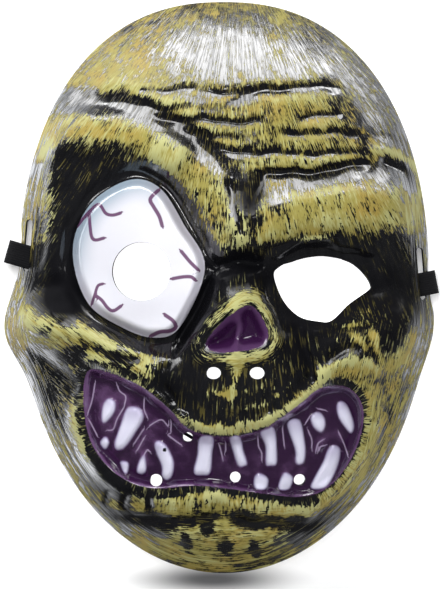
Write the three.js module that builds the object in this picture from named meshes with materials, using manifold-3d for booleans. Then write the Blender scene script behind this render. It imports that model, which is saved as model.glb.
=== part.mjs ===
// Halloween zombie mask: one thin formed shell and its flat elastic strap.
// Millimetres. The mask lies face up on its rim, which is on the plane z = 0.
// +Z comes out of the face, +Y points to the crown and +X is the viewer's right.
import * as THREE from "three";
import { mergeVertices } from "three/addons/utils/BufferGeometryUtils.js";
import Module from "manifold-3d";

// Outline of the rim, seen from the front
const HALF_WIDTH = 88.3;
const HALF_HEIGHT = 122.8;
const CENTRE_X = 2;
const CROWN_POWER = 2.3;
const JAW_POWER = 2;
const CHEEK_ANGLE = -11;
const CHEEK_SPREAD = 10;
const CHEEK_SWELL_LEFT = 0.078;
const CHEEK_SWELL_RIGHT = 0.032;

// Dome that carries the face, and the sheet
const DOME_HEIGHT = 90;
const DOME_SHARE = 0.94;
const DOME_POWER = 2.5;
const FACE_FADE_FROM = 0.86;
const WALL = 1;
const WALL_MOST = 2;

// Raised and sunk regions with a drawn edge
const EYEBALL_RISE = 6;
const EYEBALL_EDGE = 5;
const EYEBALL_MOAT_DEPTH = 2.5;
const EYEBALL_MOAT_OFFSET = 2.5;
const EYEBALL_MOAT_WIDTH = 3;
const NOSE_PIT_DEPTH = 9;
const NOSE_PIT_EDGE = 6;
const NOSE_RIM_RISE = 3.5;
const NOSE_RIM_OFFSET = 4;
const NOSE_RIM_WIDTH = 3.2;
const MOUTH_DEPTH = 6;
const MOUTH_EDGE = 5;
const TOOTH_EDGE_OUT = 2;
const TOOTH_EDGE_IN = 2.4;

// Strap, its slots and the rim above it
const STRAP_WIDTH = 10;
const STRAP_THICK = 1.2;
const TAIL_WIDTH = 9.6;
const TAIL_THICK = 1;
const SLOT_LENGTH = 22.5;
const SLOT_WIDTH = 3;
const RIM_LIFT = 2.3;
const RIM_LIFT_FULL = 7;
const RIM_LIFT_NONE = 14;
const LOOP_TOP = 8;
const LOOP_BOTTOM = 0.95;

// Mesh of the shell
const EDGE_LONGEST = 14;
const EDGE_SHORTEST = 5.8;
const CHORD_ERROR = 0.95;
const RIM_CHORD_ERROR = 0.12;
const SPLIT_PASSES = 22;
const RIM_SIDES = 6;
const HOLE_SIDES = 20;

function table(columns, lines) {
  return Object.entries(lines).map(([name, values]) => {
    const row = { name };
    columns.forEach((column, i) => {
      row[column] = values[i];
    });
    return row;
  });
}

// Broad swells and hollows of the face
const SWELLS = table(["x", "y", "rx", "ry", "turn", "rise", "power"], {
  forehead: [4, 84, 60, 26, 0, 4, 2],
  glabella: [10, 32, 13, 20, 0, 4, 2],
  nose: [9, -14, 17, 25, 0, 15, 2],
  muzzle: [6, -43, 33, 19, 0, 8, 2.5],
  mouth_block: [2, -66, 68, 32, 0, 5, 3],
  chin: [-1, -110, 34, 15, 0, 9, 2.5],
  cheek_left_outer: [-76, -17, 15, 12, -10, 6, 2],
  cheek_right_outer: [77, -22, 14, 16, 0, 5, 2],
  cheek_left: [-45, -28, 22, 9, -24, 5, 2],
  cheek_right: [54, -28, 22, 12, 8, 6, 2],
  socket_left: [-36, 14, 41, 45, 0, -10, 4],
  eyeball: [-34, 11, 30, 38, 0, 7, 2],
  socket_right: [45, 1, 34, 17, 0, -9, 3],
  socket_left_corner: [-63, -6, 10, 6, 10, -4, 2],
  nostril_left: [-3, -35, 7, 4.5, 0, -2.5, 2],
  nostril_right: [16, -35, 7, 4.5, 0, -2.5, 2],
  jowl_right: [74, -52, 12, 22, -20, -3, 2],
  jowl_left: [-72, -48, 12, 22, 20, -4, 2],
});

// Ridges and creases, each an arc from one end to the other
const FOLDS = table(["x0", "y0", "x1", "y1", "bow", "half_width", "rise"], {
  brow_left_outer: [-75, 61, -20, 60, 8, 9, 9],
  brow_left_inner: [-20, 60, 5, 21, 6, 7.5, 9],
  orbit_left: [-74, 62, -71, 8, 1, 5, 4],
  brow_left_crease: [-74, 78, 3, 52, 8, 3, -4],
  brow_left_upper: [-50, 84, -2, 63, 6, 4, 1.5],
  brow_right: [14, 24, 80, 33, 4, 9.5, 10],
  brow_right_crease_in: [15, 38, 64, 52, -1, 2.5, -3.4],
  brow_right_crease_out: [64, 52, 82, 40, 4, 2.5, -2.9],
  brow_right_tail: [60, 56, 86, 40, 6, 3, 2.5],
  lid_right: [22, 12, 70, 9, 5, 2.6, -3],
  nose_root: [-4, 8, 20, 9, 1.5, 3, -4.5],
  frown_right: [13.5, 48, 16, 16, 0, 2.5, -2.8],
  frown_left: [3, 46, 9, 20, 1, 2.5, -2],
  nose_side_left: [-2, 7, -23, -31, 2, 2.5, -2.7],
  nose_side_right: [20, 6, 30, -22, -3, 2.5, -2.9],
  muzzle_left: [-23, -31, -17, -50, -3, 2.5, -2.4],
  lip_upper_left: [-54, -31, -16, -55, 3, 3, 4.5],
  lip_upper: [-16, -55, 21, -55, -4.5, 3, 4.5],
  lip_upper_right: [21, -55, 46, -37, -2, 3, 4.5],
  lip_lower_left: [-61, -52, -43, -86, -5, 3.4, 4],
  lip_lower_mid: [-43, -86, 0, -89, -3, 3.4, 5],
  lip_lower_right: [0, -89, 38, -94, -1.5, 3.4, 5],
  lip_lower_end: [38, -94, 66, -60, -6, 3.4, 4.5],
  lip_right: [66, -60, 59, -37, -4, 3.4, 4],
  chin_groove_left: [-50, -94, 2, -95, -2.5, 3.6, -4.5],
  chin_groove_right: [2, -95, 46, -98, -2.5, 3.6, -4.5],
  pleat_1: [-47, -86, -49, -92, 0, 2.5, -1.9],
  pleat_2: [-39, -88, -40.5, -94, 0, 2.5, -1.9],
  pleat_3: [-29.5, -89, -30, -95, 0, 2.5, -1.9],
  wrinkle_1: [-34, 84, -11, 84, -1, 2.5, -1.6],
  wrinkle_2: [-9, 82.5, 34, 86, -1.5, 2.5, -1.8],
  wrinkle_3: [0, 76.5, 52, 84, 2.5, 2.5, -2.3],
  wrinkle_4: [-30, 72, 20, 70, -1, 2.5, -2],
  wrinkle_5: [24, 64.5, 60, 64.5, 1, 2.5, -2.1],
  wrinkle_6: [-3, 58, 50, 57, -1.5, 2.5, -2.3],
  wrinkle_7: [9, 48.5, 50, 50.5, -1.2, 2.5, -2.1],
  wrinkle_8: [32, 71, 54, 72.5, 1, 2.5, -1.6],
  cheek_fold_left: [-80, -14, -24, -37, 2, 6, 4],
  cheek_line_left: [-62, -20, -30, -30, -3, 2.5, -1.5],
  jowl_crease_left: [-84, -27, -60, -46, 3, 3.2, -3.5],
  cheek_fold_right: [33, -33, 62, -26, 2, 3.6, 4],
  cheek_line_right: [40, -38, 60, -36, 2, 2.5, -2.1],
  nasolabial_right: [28, -14, 40, -40, 2, 2.5, -2.7],
  lid_lower_right: [31, -17, 68, -5, -4, 3, 3],
});

// Teeth, from root to tip, with half widths
const TEETH = table(["x0", "y0", "x1", "y1", "root", "tip", "rise"], {
  left_corner: [-45.4, -48.9, -47.9, -55.6, 3.2, 2.4, 3],
  left_large: [-34.9, -53.1, -39.9, -64, 4.6, 3.6, 3.5],
  left_stub_high: [-48.7, -65.3, -48.7, -66.6, 2.2, 2.2, 2],
  left_stub_low: [-39.9, -75, -39.5, -77.1, 2, 2, 2],
  left_drop: [-32.3, -71.6, -33.2, -76.7, 1.4, 2.3, 2.5],
  left_fang: [-26, -67.4, -22.3, -79.2, 2.8, 2.9, 3],
  front_left: [-5.5, -64.9, -6.9, -76.7, 2.9, 3.5, 3],
  front_thin: [7.1, -64.9, 9.2, -73.3, 2.1, 2.2, 3],
  front_right: [20.6, -62.4, 21.8, -72.5, 2.9, 2.3, 3],
  right_long: [31.9, -58.2, 34, -72.9, 2.6, 1.9, 3],
  right_round: [41.6, -55.2, 42.4, -58.6, 3, 2.9, 3],
  right_corner: [52.1, -50.2, 55.4, -60.3, 2.4, 2, 3],
  right_large: [49.1, -70.4, 42.4, -83.4, 3.3, 3.4, 3.5],
  lower_stub_left: [17.6, -81.3, 18.1, -83.4, 3.1, 3.1, 2.5],
  lower_stub_right: [28.6, -80.9, 28.1, -83.8, 2.5, 3.1, 2.5],
});

// Round and oval holes through the sheet
const HOLES = table(["x", "y", "rx", "ry"], {
  pupil: [-32.8, 6.7, 12.3, 12.3],
  nostril_left: [-2.3, -35.9, 3.1, 2.5],
  nostril_right: [16, -35.9, 3.2, 2.5],
  breath_lip: [-13.2, -63.2, 2.2, 2.2],
  breath_left: [-26.7, -81.7, 2.6, 2.6],
  breath_middle: [6.9, -80.2, 2.3, 2.3],
  breath_right: [34.2, -81.7, 2.5, 2.5],
});

// Where the strap leaves the rim on each side: the rim's edge, the way out, the slot and the loop's reach
const STRAP_ENDS = table(["side", "rim_x", "rim_y", "aim", "slot_x", "slot_y", "slot_turn", "loop_out"], {
  left: [-1, -85.4, 14, 164, -82.1, 18, 4.2, 1.9],
  right: [1, 90.1, 1.9, 11, 86.8, 5.9, 4.5, -0.6],
});

// Route of the strap between the sewn tails: it turns from flat to standing on its edge
const STRAP_ROUTE = table(["x", "y", "z", "turn"], {
  left_sewn: [-66.2, 8.5, 7.2, 0],
  left_easing: [-59, 4, 6.6, 35],
  left_turned: [-52.5, -6, 5.8, 75],
  left_upper: [-47, -19, 5.4, 90],
  left_middle: [-38.5, -36, 5.4, 90],
  left_lower: [-27, -52, 5.4, 90],
  under_lip: [-13.4, -63.4, 5.4, 90],
  low_left: [0, -68.5, 5.4, 90],
  low_right: [15, -68.5, 5.4, 90],
  right_lower: [30, -61, 5.4, 90],
  right_middle: [43.5, -47, 5.4, 90],
  right_upper: [54.5, -31, 5.4, 90],
  right_turned: [61.5, -18, 5.8, 75],
  right_easing: [66.5, -7.5, 6.6, 35],
  right_sewn: [72, -1.7, 7.3, 0],
});

// Edge of the bulging eyeball
const EYEBALL_POINTS = [
  [-37.4, 45.6], [-24.8, 41.8], [-14.7, 26.3], [-5.9, 8.2], [-16.4, -16.6], [-28.1, -21.2],
  [-42.4, -16.2], [-55, -7.4], [-61.3, 7.4], [-61.3, 22], [-53.3, 36.8],
];

// Opening of the other eye
const EYE_POINTS = [
  [23.1, 4.8], [25.2, 8.4], [30.7, 10.9], [42.8, 13.4], [55, 11.1], [61.7, 5.3], [64.5, 0.6],
  [63, -1.5], [55, -7.1], [47.5, -14], [41.6, -14.3], [33.6, -12.2], [26.9, -5.3],
];

// Pit of the nose
const NOSE_POINTS = [
  [11.3, -7.8], [16.4, -10.3], [20.6, -19.1], [18, -24.6],
  [8.8, -26.7], [-1.7, -27.1], [-5.5, -23.3], [1.3, -14.5],
];

// Edge of the open mouth
const MOUTH_POINTS = [
  [-55.9, -35.9], [-48.3, -35.5], [-33.2, -41.4], [-21.4, -50.6], [-12.2, -59.9], [3.8, -62.8],
  [19.7, -59], [34, -48.9], [43.3, -42.2], [55, -42.6], [61.3, -52.3], [58.4, -68.3], [48.7, -83],
  [36.1, -88.8], [15.1, -86.7], [-8, -83.8], [-29, -85], [-43.7, -79.2], [-54.2, -66.2], [-57.5, -49.4],
];

function smooth(low, high, value) {
  const t = THREE.MathUtils.clamp((value - low) / (high - low), 0, 1);
  return t * t * (3 - 2 * t);
}

function bell(value, width) {
  return Math.exp(-((value / width) ** 2));
}

function closedOutline(points) {
  const knots = points.map(([x, y]) => new THREE.Vector3(x, y, 0));
  const curve = new THREE.CatmullRomCurve3(knots, true, "catmullrom", 0.5);
  const loop = curve.getPoints(points.length * 4);
  loop.pop();
  return loop.map((point) => new THREE.Vector2(point.x, point.y));
}

function foldLine(row) {
  const start = new THREE.Vector2(row.x0, row.y0);
  const end = new THREE.Vector2(row.x1, row.y1);
  const along = end.clone().sub(start).normalize();
  const middle = start.clone().add(end).multiplyScalar(0.5);
  const control = middle.add(new THREE.Vector2(-along.y, along.x).multiplyScalar(2 * row.bow));
  return new THREE.QuadraticBezierCurve(start, control, end).getPoints(10);
}

function nearestOnLine(x, y, line) {
  const found = { distance: Infinity, share: 0 };
  const steps = line.length - 1;
  for (let i = 0; i < steps; i += 1) {
    const a = line[i];
    const dx = line[i + 1].x - a.x;
    const dy = line[i + 1].y - a.y;
    const raw = ((x - a.x) * dx + (y - a.y) * dy) / (dx * dx + dy * dy);
    const t = THREE.MathUtils.clamp(raw, 0, 1);
    const distance = Math.hypot(x - a.x - t * dx, y - a.y - t * dy);
    if (distance < found.distance) {
      found.distance = distance;
      found.share = (i + t) / steps;
    }
  }
  return found;
}

function signedDistance(x, y, loop) {
  const { distance } = nearestOnLine(x, y, [...loop, loop[0]]);
  let inside = false;
  loop.forEach((a, i) => {
    const b = loop[(i + 1) % loop.length];
    const spans = a.y > y !== b.y > y;
    if (spans && x < ((b.x - a.x) * (y - a.y)) / (b.y - a.y) + a.x) {
      inside = !inside;
    }
  });
  return inside ? -distance : distance;
}

const eyeball = closedOutline(EYEBALL_POINTS);
const eye = closedOutline(EYE_POINTS);
const nosePit = closedOutline(NOSE_POINTS);
const mouth = closedOutline(MOUTH_POINTS);
const foldLines = FOLDS.map(foldLine);
const toothLines = TEETH.map((row) => [new THREE.Vector2(row.x0, row.y0), new THREE.Vector2(row.x1, row.y1)]);

function outlineRadius(angle) {
  const across = Math.abs(Math.cos(angle));
  const along = Math.abs(Math.sin(angle));
  const power = Math.sin(angle) >= 0 ? CROWN_POWER : JAW_POWER;
  const radius = ((across / HALF_WIDTH) ** power + (along / HALF_HEIGHT) ** power) ** (-1 / power);
  const rise = THREE.MathUtils.radToDeg(Math.atan2(Math.sin(angle), across));
  const swell = Math.cos(angle) < 0 ? CHEEK_SWELL_LEFT : CHEEK_SWELL_RIGHT;
  return radius * (1 + swell * bell(rise - CHEEK_ANGLE, CHEEK_SPREAD));
}

function rimShare(x, y) {
  return Math.hypot(x - CENTRE_X, y) / outlineRadius(Math.atan2(y, x - CENTRE_X));
}

const RIM_LEVEL = Math.sqrt(1 - DOME_SHARE ** DOME_POWER);

function domeHeight(x, y) {
  const left = Math.max(1 - (DOME_SHARE * rimShare(x, y)) ** DOME_POWER, 0.001);
  return DOME_HEIGHT * (Math.sqrt(left) - RIM_LEVEL);
}

function swellHeight(row, x, y) {
  const turn = THREE.MathUtils.degToRad(row.turn);
  const along = (x - row.x) * Math.cos(turn) + (y - row.y) * Math.sin(turn);
  const across = (y - row.y) * Math.cos(turn) - (x - row.x) * Math.sin(turn);
  return row.rise * Math.exp(-(Math.hypot(along / row.rx, across / row.ry) ** row.power));
}

function foldHeight(row, line, x, y) {
  const { distance, share } = nearestOnLine(x, y, line);
  const ends = Math.min(share, 1 - share);
  const taper = row.rise < 0 ? smooth(0, 0.15, ends) : smooth(-0.3, 0.12, ends) * smooth(-0.3, 0.12, 1 - ends);
  return row.rise * taper * bell(distance, row.half_width);
}

function faceHeight(x, y) {
  let total = 0;
  SWELLS.forEach((row) => {
    total += swellHeight(row, x, y);
  });
  FOLDS.forEach((row, i) => {
    total += foldHeight(row, foldLines[i], x, y);
  });
  TEETH.forEach((row, i) => {
    const { distance, share } = nearestOnLine(x, y, toothLines[i]);
    const edge = distance - THREE.MathUtils.lerp(row.root, row.tip, share);
    total += row.rise * smooth(TOOTH_EDGE_OUT, -TOOTH_EDGE_IN, edge);
  });
  const ball = signedDistance(x, y, eyeball);
  total += EYEBALL_RISE * smooth(0.5, -EYEBALL_EDGE, ball);
  total -= EYEBALL_MOAT_DEPTH * bell(ball - EYEBALL_MOAT_OFFSET, EYEBALL_MOAT_WIDTH);
  const pit = signedDistance(x, y, nosePit);
  total -= NOSE_PIT_DEPTH * smooth(1, -NOSE_PIT_EDGE, pit);
  total += NOSE_RIM_RISE * bell(pit - NOSE_RIM_OFFSET, NOSE_RIM_WIDTH);
  total -= MOUTH_DEPTH * smooth(1, -MOUTH_EDGE, signedDistance(x, y, mouth));
  return total;
}

function sheetHeight(x, y) {
  const fade = smooth(1, FACE_FADE_FROM, rimShare(x, y));
  return domeHeight(x, y) + (fade > 0 ? fade * faceHeight(x, y) : 0);
}

function upward(heightAt, x, y) {
  const step = 0.05;
  const slopeX = (heightAt(x + step, y) - heightAt(x - step, y)) / (2 * step);
  const slopeY = (heightAt(x, y + step) - heightAt(x, y - step)) / (2 * step);
  return new THREE.Vector3(-slopeX, -slopeY, 1).normalize();
}

// The rim is trimmed a little higher where the strap passes under it
function trimShare(angle) {
  const radius = outlineRadius(angle);
  const x = CENTRE_X + radius * Math.cos(angle);
  const y = radius * Math.sin(angle);
  const end = STRAP_ENDS.find((row) => row.side === Math.sign(x));
  const lift = RIM_LIFT * smooth(RIM_LIFT_NONE, RIM_LIFT_FULL, Math.abs(y - (end ? end.rim_y : HALF_HEIGHT)));
  return (1 - (lift / DOME_HEIGHT + RIM_LEVEL) ** 2) ** (1 / DOME_POWER) / DOME_SHARE;
}

// A point of the unit disc goes to its place on the outside of the sheet
function sheetPoint(p, q) {
  const angle = Math.atan2(q * HALF_HEIGHT, p * HALF_WIDTH);
  const disc = Math.min(Math.hypot(p, q), 1);
  const share = disc * (1 - (1 - trimShare(angle)) * disc ** 8);
  const x = CENTRE_X + share * outlineRadius(angle) * Math.cos(angle);
  const y = share * outlineRadius(angle) * Math.sin(angle);
  return { p, q, at: new THREE.Vector3(x, y, sheetHeight(x, y)) };
}

function edgeKey(a, b) {
  return a < b ? `${a},${b}` : `${b},${a}`;
}

function edgesOf([a, b, c]) {
  return [[a, b], [b, c], [c, a]];
}

function countEdges(triangles) {
  const uses = new Map();
  triangles.forEach((triangle) => {
    edgesOf(triangle).forEach(([a, b]) => {
      uses.set(edgeKey(a, b), (uses.get(edgeKey(a, b)) ?? 0) + 1);
    });
  });
  return uses;
}

// Puts the longest edge of a triangle first
function longestFirst(points, triangle) {
  const [a, b, c] = triangle;
  const lengths = edgesOf(triangle).map(([from, to]) => points[from].at.distanceToSquared(points[to].at));
  const longest = lengths.indexOf(Math.max(...lengths));
  return [[a, b, c], [b, c, a], [c, a, b]][longest];
}

// The middle of an edge, which stays on the rim where the edge is part of it
function edgeMiddle(points, a, b, onRim) {
  let p = (points[a].p + points[b].p) / 2;
  let q = (points[a].q + points[b].q) / 2;
  if (onRim) {
    const reach = Math.hypot(p, q);
    p /= reach;
    q /= reach;
  }
  return sheetPoint(p, q);
}

// Halves the edges that are too long or stray too far from the sheet, until none is left
function refine(points, start) {
  let triangles = start;
  for (let pass = 0; pass < SPLIT_PASSES; pass += 1) {
    const uses = countEdges(triangles);
    const middles = new Map();
    const settled = new Set();
    uses.forEach((count, key) => {
      const [a, b] = key.split(",").map(Number);
      const length = points[a].at.distanceTo(points[b].at);
      if (length < EDGE_SHORTEST) {
        return;
      }
      const middle = edgeMiddle(points, a, b, count === 1);
      const chord = points[a].at.clone().add(points[b].at).multiplyScalar(0.5);
      const allowed = count === 1 ? RIM_CHORD_ERROR : CHORD_ERROR;
      if (length > EDGE_LONGEST || chord.distanceTo(middle.at) > allowed) {
        middles.set(key, middle);
      }
    });
    if (middles.size === 0) {
      break;
    }
    let changed = true;
    while (changed) {
      changed = false;
      triangles.forEach((triangle, i) => {
        const [a, b, c] = longestFirst(points, triangle);
        const marked = middles.has(edgeKey(b, c)) || middles.has(edgeKey(c, a));
        if (!settled.has(i) && marked && !middles.has(edgeKey(a, b))) {
          middles.set(edgeKey(a, b), edgeMiddle(points, a, b, uses.get(edgeKey(a, b)) === 1));
          settled.add(i);
          changed = true;
        }
      });
    }
    const index = new Map();
    middles.forEach((middle, key) => {
      index.set(key, points.push(middle) - 1);
    });
    triangles = triangles.flatMap((triangle) => splitTriangle(longestFirst(points, triangle), index));
  }
  return triangles;
}

function splitTriangle([a, b, c], index) {
  const base = index.get(edgeKey(a, b));
  const right = index.get(edgeKey(b, c));
  const left = index.get(edgeKey(c, a));
  if (base === undefined) {
    return [[a, b, c]];
  }
  const first = left === undefined ? [[a, base, c]] : [[a, base, left], [left, base, c]];
  const second = right === undefined ? [[base, b, c]] : [[base, b, right], [base, right, c]];
  return [...first, ...second];
}

// The inside of the sheet lies a wall's thickness behind its outside, straight back from the dome
function innerPoint(point, onRim) {
  const { x, y } = point.at;
  const back = upward(domeHeight, x, y);
  const depth = Math.min(WALL / upward(sheetHeight, x, y).dot(back), WALL_MOST * WALL);
  const inner = point.at.clone().addScaledVector(back, -depth);
  if (onRim) {
    const flat = new THREE.Vector3(back.x, back.y, 0).normalize();
    return point.at.clone().addScaledVector(flat, -WALL);
  }
  return inner;
}

function meshGeometry(corners, triangles) {
  const geometry = new THREE.BufferGeometry();
  const positions = corners.flatMap((corner) => corner.toArray());
  geometry.setAttribute("position", new THREE.Float32BufferAttribute(positions, 3));
  geometry.setIndex(triangles.flat());
  return geometry;
}

function shellGeometry() {
  const disc = new THREE.CircleGeometry(1, RIM_SIDES);
  disc.deleteAttribute("normal");
  disc.deleteAttribute("uv");
  const start = mergeVertices(disc, 1e-6);
  const place = start.getAttribute("position");
  const points = [];
  for (let i = 0; i < place.count; i += 1) {
    points.push(sheetPoint(place.getX(i), place.getY(i)));
  }
  const fan = [];
  for (let i = 0; i < start.index.count; i += 3) {
    fan.push([start.index.getX(i), start.index.getX(i + 1), start.index.getX(i + 2)]);
  }
  const outside = refine(points, fan);
  const uses = countEdges(outside);
  const rim = outside.flatMap((triangle) => edgesOf(triangle).filter(([a, b]) => uses.get(edgeKey(a, b)) === 1));
  const onRim = new Set(rim.flat());
  const count = points.length;
  const inner = points.map((point, i) => innerPoint(point, onRim.has(i)));
  const inside = outside.map(([a, b, c]) => [c + count, b + count, a + count]);
  const band = rim.flatMap(([a, b]) => [[b, a, a + count], [b, a + count, b + count]]);
  const corners = [...points.map((point) => point.at), ...inner];
  return meshGeometry(corners, [...outside, ...inside, ...band]);
}

function holeGeometry(shape) {
  const settings = { depth: 2 * DOME_HEIGHT, bevelEnabled: false, curveSegments: HOLE_SIDES };
  return new THREE.ExtrudeGeometry(shape, settings).translate(0, 0, -DOME_HEIGHT);
}

function ovalHole(row) {
  const shape = new THREE.Shape();
  shape.absellipse(row.x, row.y, row.rx, row.ry, 0, 2 * Math.PI, false, 0);
  return holeGeometry(shape);
}

function slotHole(row) {
  const end = SLOT_WIDTH / 2;
  const half = SLOT_LENGTH / 2 - end;
  const shape = new THREE.Shape();
  shape.moveTo(end, -half);
  shape.lineTo(end, half);
  shape.absarc(0, half, end, 0, Math.PI, false);
  shape.lineTo(-end, -half);
  shape.absarc(0, -half, end, Math.PI, 2 * Math.PI, false);
  const settings = { depth: 2 * DOME_HEIGHT, bevelEnabled: false, curveSegments: 4 };
  const prism = new THREE.ExtrudeGeometry(shape, settings);
  prism.translate(0, 0, -DOME_HEIGHT);
  prism.rotateZ(THREE.MathUtils.degToRad(row.side * row.slot_turn));
  return prism.translate(row.slot_x, row.slot_y, 0);
}

// A flat band through stations that give its middle, the way across it and its turn on edge
function bandGeometry(stations, width, thick) {
  const corners = [];
  stations.forEach((station, i) => {
    const before = stations[Math.max(i - 1, 0)].at;
    const after = stations[Math.min(i + 1, stations.length - 1)].at;
    const along = after.clone().sub(before).normalize();
    const across = station.across.clone().applyAxisAngle(along, station.turn);
    const up = across.clone().cross(along).normalize();
    [[1, 1], [-1, 1], [-1, -1], [1, -1]].forEach(([side, face]) => {
      const corner = station.at.clone().addScaledVector(across, (side * width) / 2);
      corners.push(corner.addScaledVector(up, (face * thick) / 2));
    });
  });
  const last = corners.length - 4;
  const triangles = [[0, 1, 2], [0, 2, 3], [last, last + 2, last + 1], [last, last + 3, last + 2]];
  for (let ring = 0; ring < last; ring += 4) {
    for (let side = 0; side < 4; side += 1) {
      const a = ring + side;
      const b = ring + ((side + 1) % 4);
      triangles.push([a, a + 4, b + 4], [a, b + 4, b]);
    }
  }
  return meshGeometry(corners, triangles);
}

function endPlace(row, out, high) {
  const aim = THREE.MathUtils.degToRad(row.aim);
  return new THREE.Vector3(row.rim_x + out * Math.cos(aim), row.rim_y + out * Math.sin(aim), high);
}

function endAcross(row) {
  const aim = THREE.MathUtils.degToRad(row.aim);
  return new THREE.Vector3(Math.sin(aim), -Math.cos(aim), 0).multiplyScalar(-row.side);
}

// From inside the slot, out over the strip of rim, round and back under it
function loopStations(row) {
  const radius = (LOOP_TOP - LOOP_BOTTOM) / 2;
  const middle = (LOOP_TOP + LOOP_BOTTOM) / 2;
  const places = [[-16, LOOP_TOP - 0.5], [-10, LOOP_TOP - 0.1], [-5, LOOP_TOP], [-2, LOOP_TOP]];
  for (let step = 0; step <= 8; step += 1) {
    const angle = Math.PI / 2 - (step * Math.PI) / 8;
    places.push([row.loop_out + radius * Math.cos(angle), middle + radius * Math.sin(angle)]);
  }
  places.push([-3, LOOP_BOTTOM]);
  return places.map(([out, high]) => ({ at: endPlace(row, out, high), across: endAcross(row), turn: 0 }));
}

// The end of the band comes in under the rim and rises to be sewn to the underside
function tailStations(row) {
  const sewn = LOOP_TOP - 0.5 - (STRAP_THICK + TAIL_THICK) / 2 + 0.12;
  const places = [[-1, LOOP_BOTTOM], [-4, LOOP_BOTTOM], [-6.5, 1.6], [-9, 3.6], [-11.5, 5.7], [-14, sewn], [-19, sewn - 0.25]];
  return places.map(([out, high]) => ({ at: endPlace(row, out, high), across: endAcross(row), turn: 0 }));
}

function routeStations() {
  const knots = STRAP_ROUTE.map((row) => new THREE.Vector3(row.x, row.y, row.z));
  const curve = new THREE.CatmullRomCurve3(knots, false, "catmullrom", 0.5);
  const steps = 4 * (knots.length - 1);
  const stations = [];
  for (let i = 0; i <= steps; i += 1) {
    const share = i / steps;
    const at = curve.getPoint(share);
    const way = curve.getTangent(share);
    const row = Math.min(Math.floor(i / 4), STRAP_ROUTE.length - 2);
    const turn = THREE.MathUtils.lerp(STRAP_ROUTE[row].turn, STRAP_ROUTE[row + 1].turn, i / 4 - row);
    const across = new THREE.Vector3(-way.y, way.x, 0).normalize();
    stations.push({ at, across, turn: THREE.MathUtils.degToRad(turn) });
  }
  return stations;
}

const wasm = await Module();
wasm.setup();

function toSolid(geometry) {
  const bare = geometry.clone();
  bare.deleteAttribute("normal");
  bare.deleteAttribute("uv");
  const welded = mergeVertices(bare, 1e-4);
  const vertProperties = new Float32Array(welded.getAttribute("position").array);
  const triVerts = new Uint32Array(welded.index.array);
  return new wasm.Manifold(new wasm.Mesh({ numProp: 3, vertProperties, triVerts }));
}

function toGeometry(solid) {
  const mesh = solid.getMesh();
  const geometry = new THREE.BufferGeometry();
  geometry.setAttribute("position", new THREE.Float32BufferAttribute(mesh.vertProperties, 3));
  geometry.setIndex(Array.from(mesh.triVerts));
  return geometry;
}

function cutShell() {
  let solid = toSolid(shellGeometry());
  const cutters = [holeGeometry(new THREE.Shape(eye)), ...HOLES.map(ovalHole), ...STRAP_ENDS.map(slotHole)];
  cutters.forEach((cutter) => {
    solid = solid.subtract(toSolid(cutter));
  });
  return toGeometry(solid);
}

function joinStrap() {
  const [left, right] = STRAP_ENDS;
  const stations = [...loopStations(left).reverse(), ...routeStations(), ...loopStations(right)];
  let solid = toSolid(bandGeometry(stations, STRAP_WIDTH, STRAP_THICK));
  const leftTail = bandGeometry(tailStations(left).reverse(), TAIL_WIDTH, TAIL_THICK);
  const rightTail = bandGeometry(tailStations(right), TAIL_WIDTH, TAIL_THICK);
  [leftTail, rightTail].forEach((tail) => {
    solid = solid.add(toSolid(tail));
  });
  return toGeometry(solid);
}

function piece(name, geometry, colour, roughness) {
  const material = new THREE.MeshStandardMaterial({ color: colour, roughness, metalness: 0 });
  const mesh = new THREE.Mesh(geometry, material);
  mesh.name = name;
  return mesh;
}

const mask = new THREE.Group();
mask.name = "halloween_mask";
mask.add(piece("mask_shell", cutShell(), "#9c8d4c", 0.35));
mask.add(piece("elastic_strap", joinStrap(), "#17171a", 0.85));

export default mask;
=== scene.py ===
"""Looks of a halloween mask: a formed and brush-painted plastic shell, its elastic strap, and the stage."""

import math
from types import SimpleNamespace

import bmesh
import bpy
import numpy as np
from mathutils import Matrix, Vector


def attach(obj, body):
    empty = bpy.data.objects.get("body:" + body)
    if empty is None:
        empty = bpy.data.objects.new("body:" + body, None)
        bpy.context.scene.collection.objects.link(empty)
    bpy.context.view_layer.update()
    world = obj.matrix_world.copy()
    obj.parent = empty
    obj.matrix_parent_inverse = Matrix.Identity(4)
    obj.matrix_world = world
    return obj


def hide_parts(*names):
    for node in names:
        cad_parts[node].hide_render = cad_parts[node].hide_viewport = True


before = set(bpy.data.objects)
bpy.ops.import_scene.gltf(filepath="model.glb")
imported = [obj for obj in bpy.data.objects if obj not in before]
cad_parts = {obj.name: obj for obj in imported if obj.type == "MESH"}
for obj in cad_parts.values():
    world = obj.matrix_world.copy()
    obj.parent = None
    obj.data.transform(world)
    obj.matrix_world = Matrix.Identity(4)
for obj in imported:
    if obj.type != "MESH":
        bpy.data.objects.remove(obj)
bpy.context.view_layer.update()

bl_info = {
    "name": "Halloween Mask",
    "version": (1, 0, 0),
    "blender": (4, 5, 0),
    "location": "View3D > Sidebar > Mask",
    "description": "Builds a painted zombie mask with its elastic strap on a pale floor",
    "category": "Object",
}

MM = 0.001

# Outline of the rim and the dome that carries the face, in millimetres
HALF_WIDTH = 88.3
HALF_HEIGHT = 122.8
CENTRE_X = 2.0
CROWN_POWER = 2.3
JAW_POWER = 2.0
CHEEK_ANGLE = -11.0
CHEEK_SPREAD = 10.0
CHEEK_SWELL_LEFT = 0.078
CHEEK_SWELL_RIGHT = 0.032
DOME_HEIGHT = 90.0
DOME_SHARE = 0.94
DOME_POWER = 2.5
DOME_LEAST = 0.001
FACE_FADE_FROM = 0.86
TRIM_POWER = 8

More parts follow.
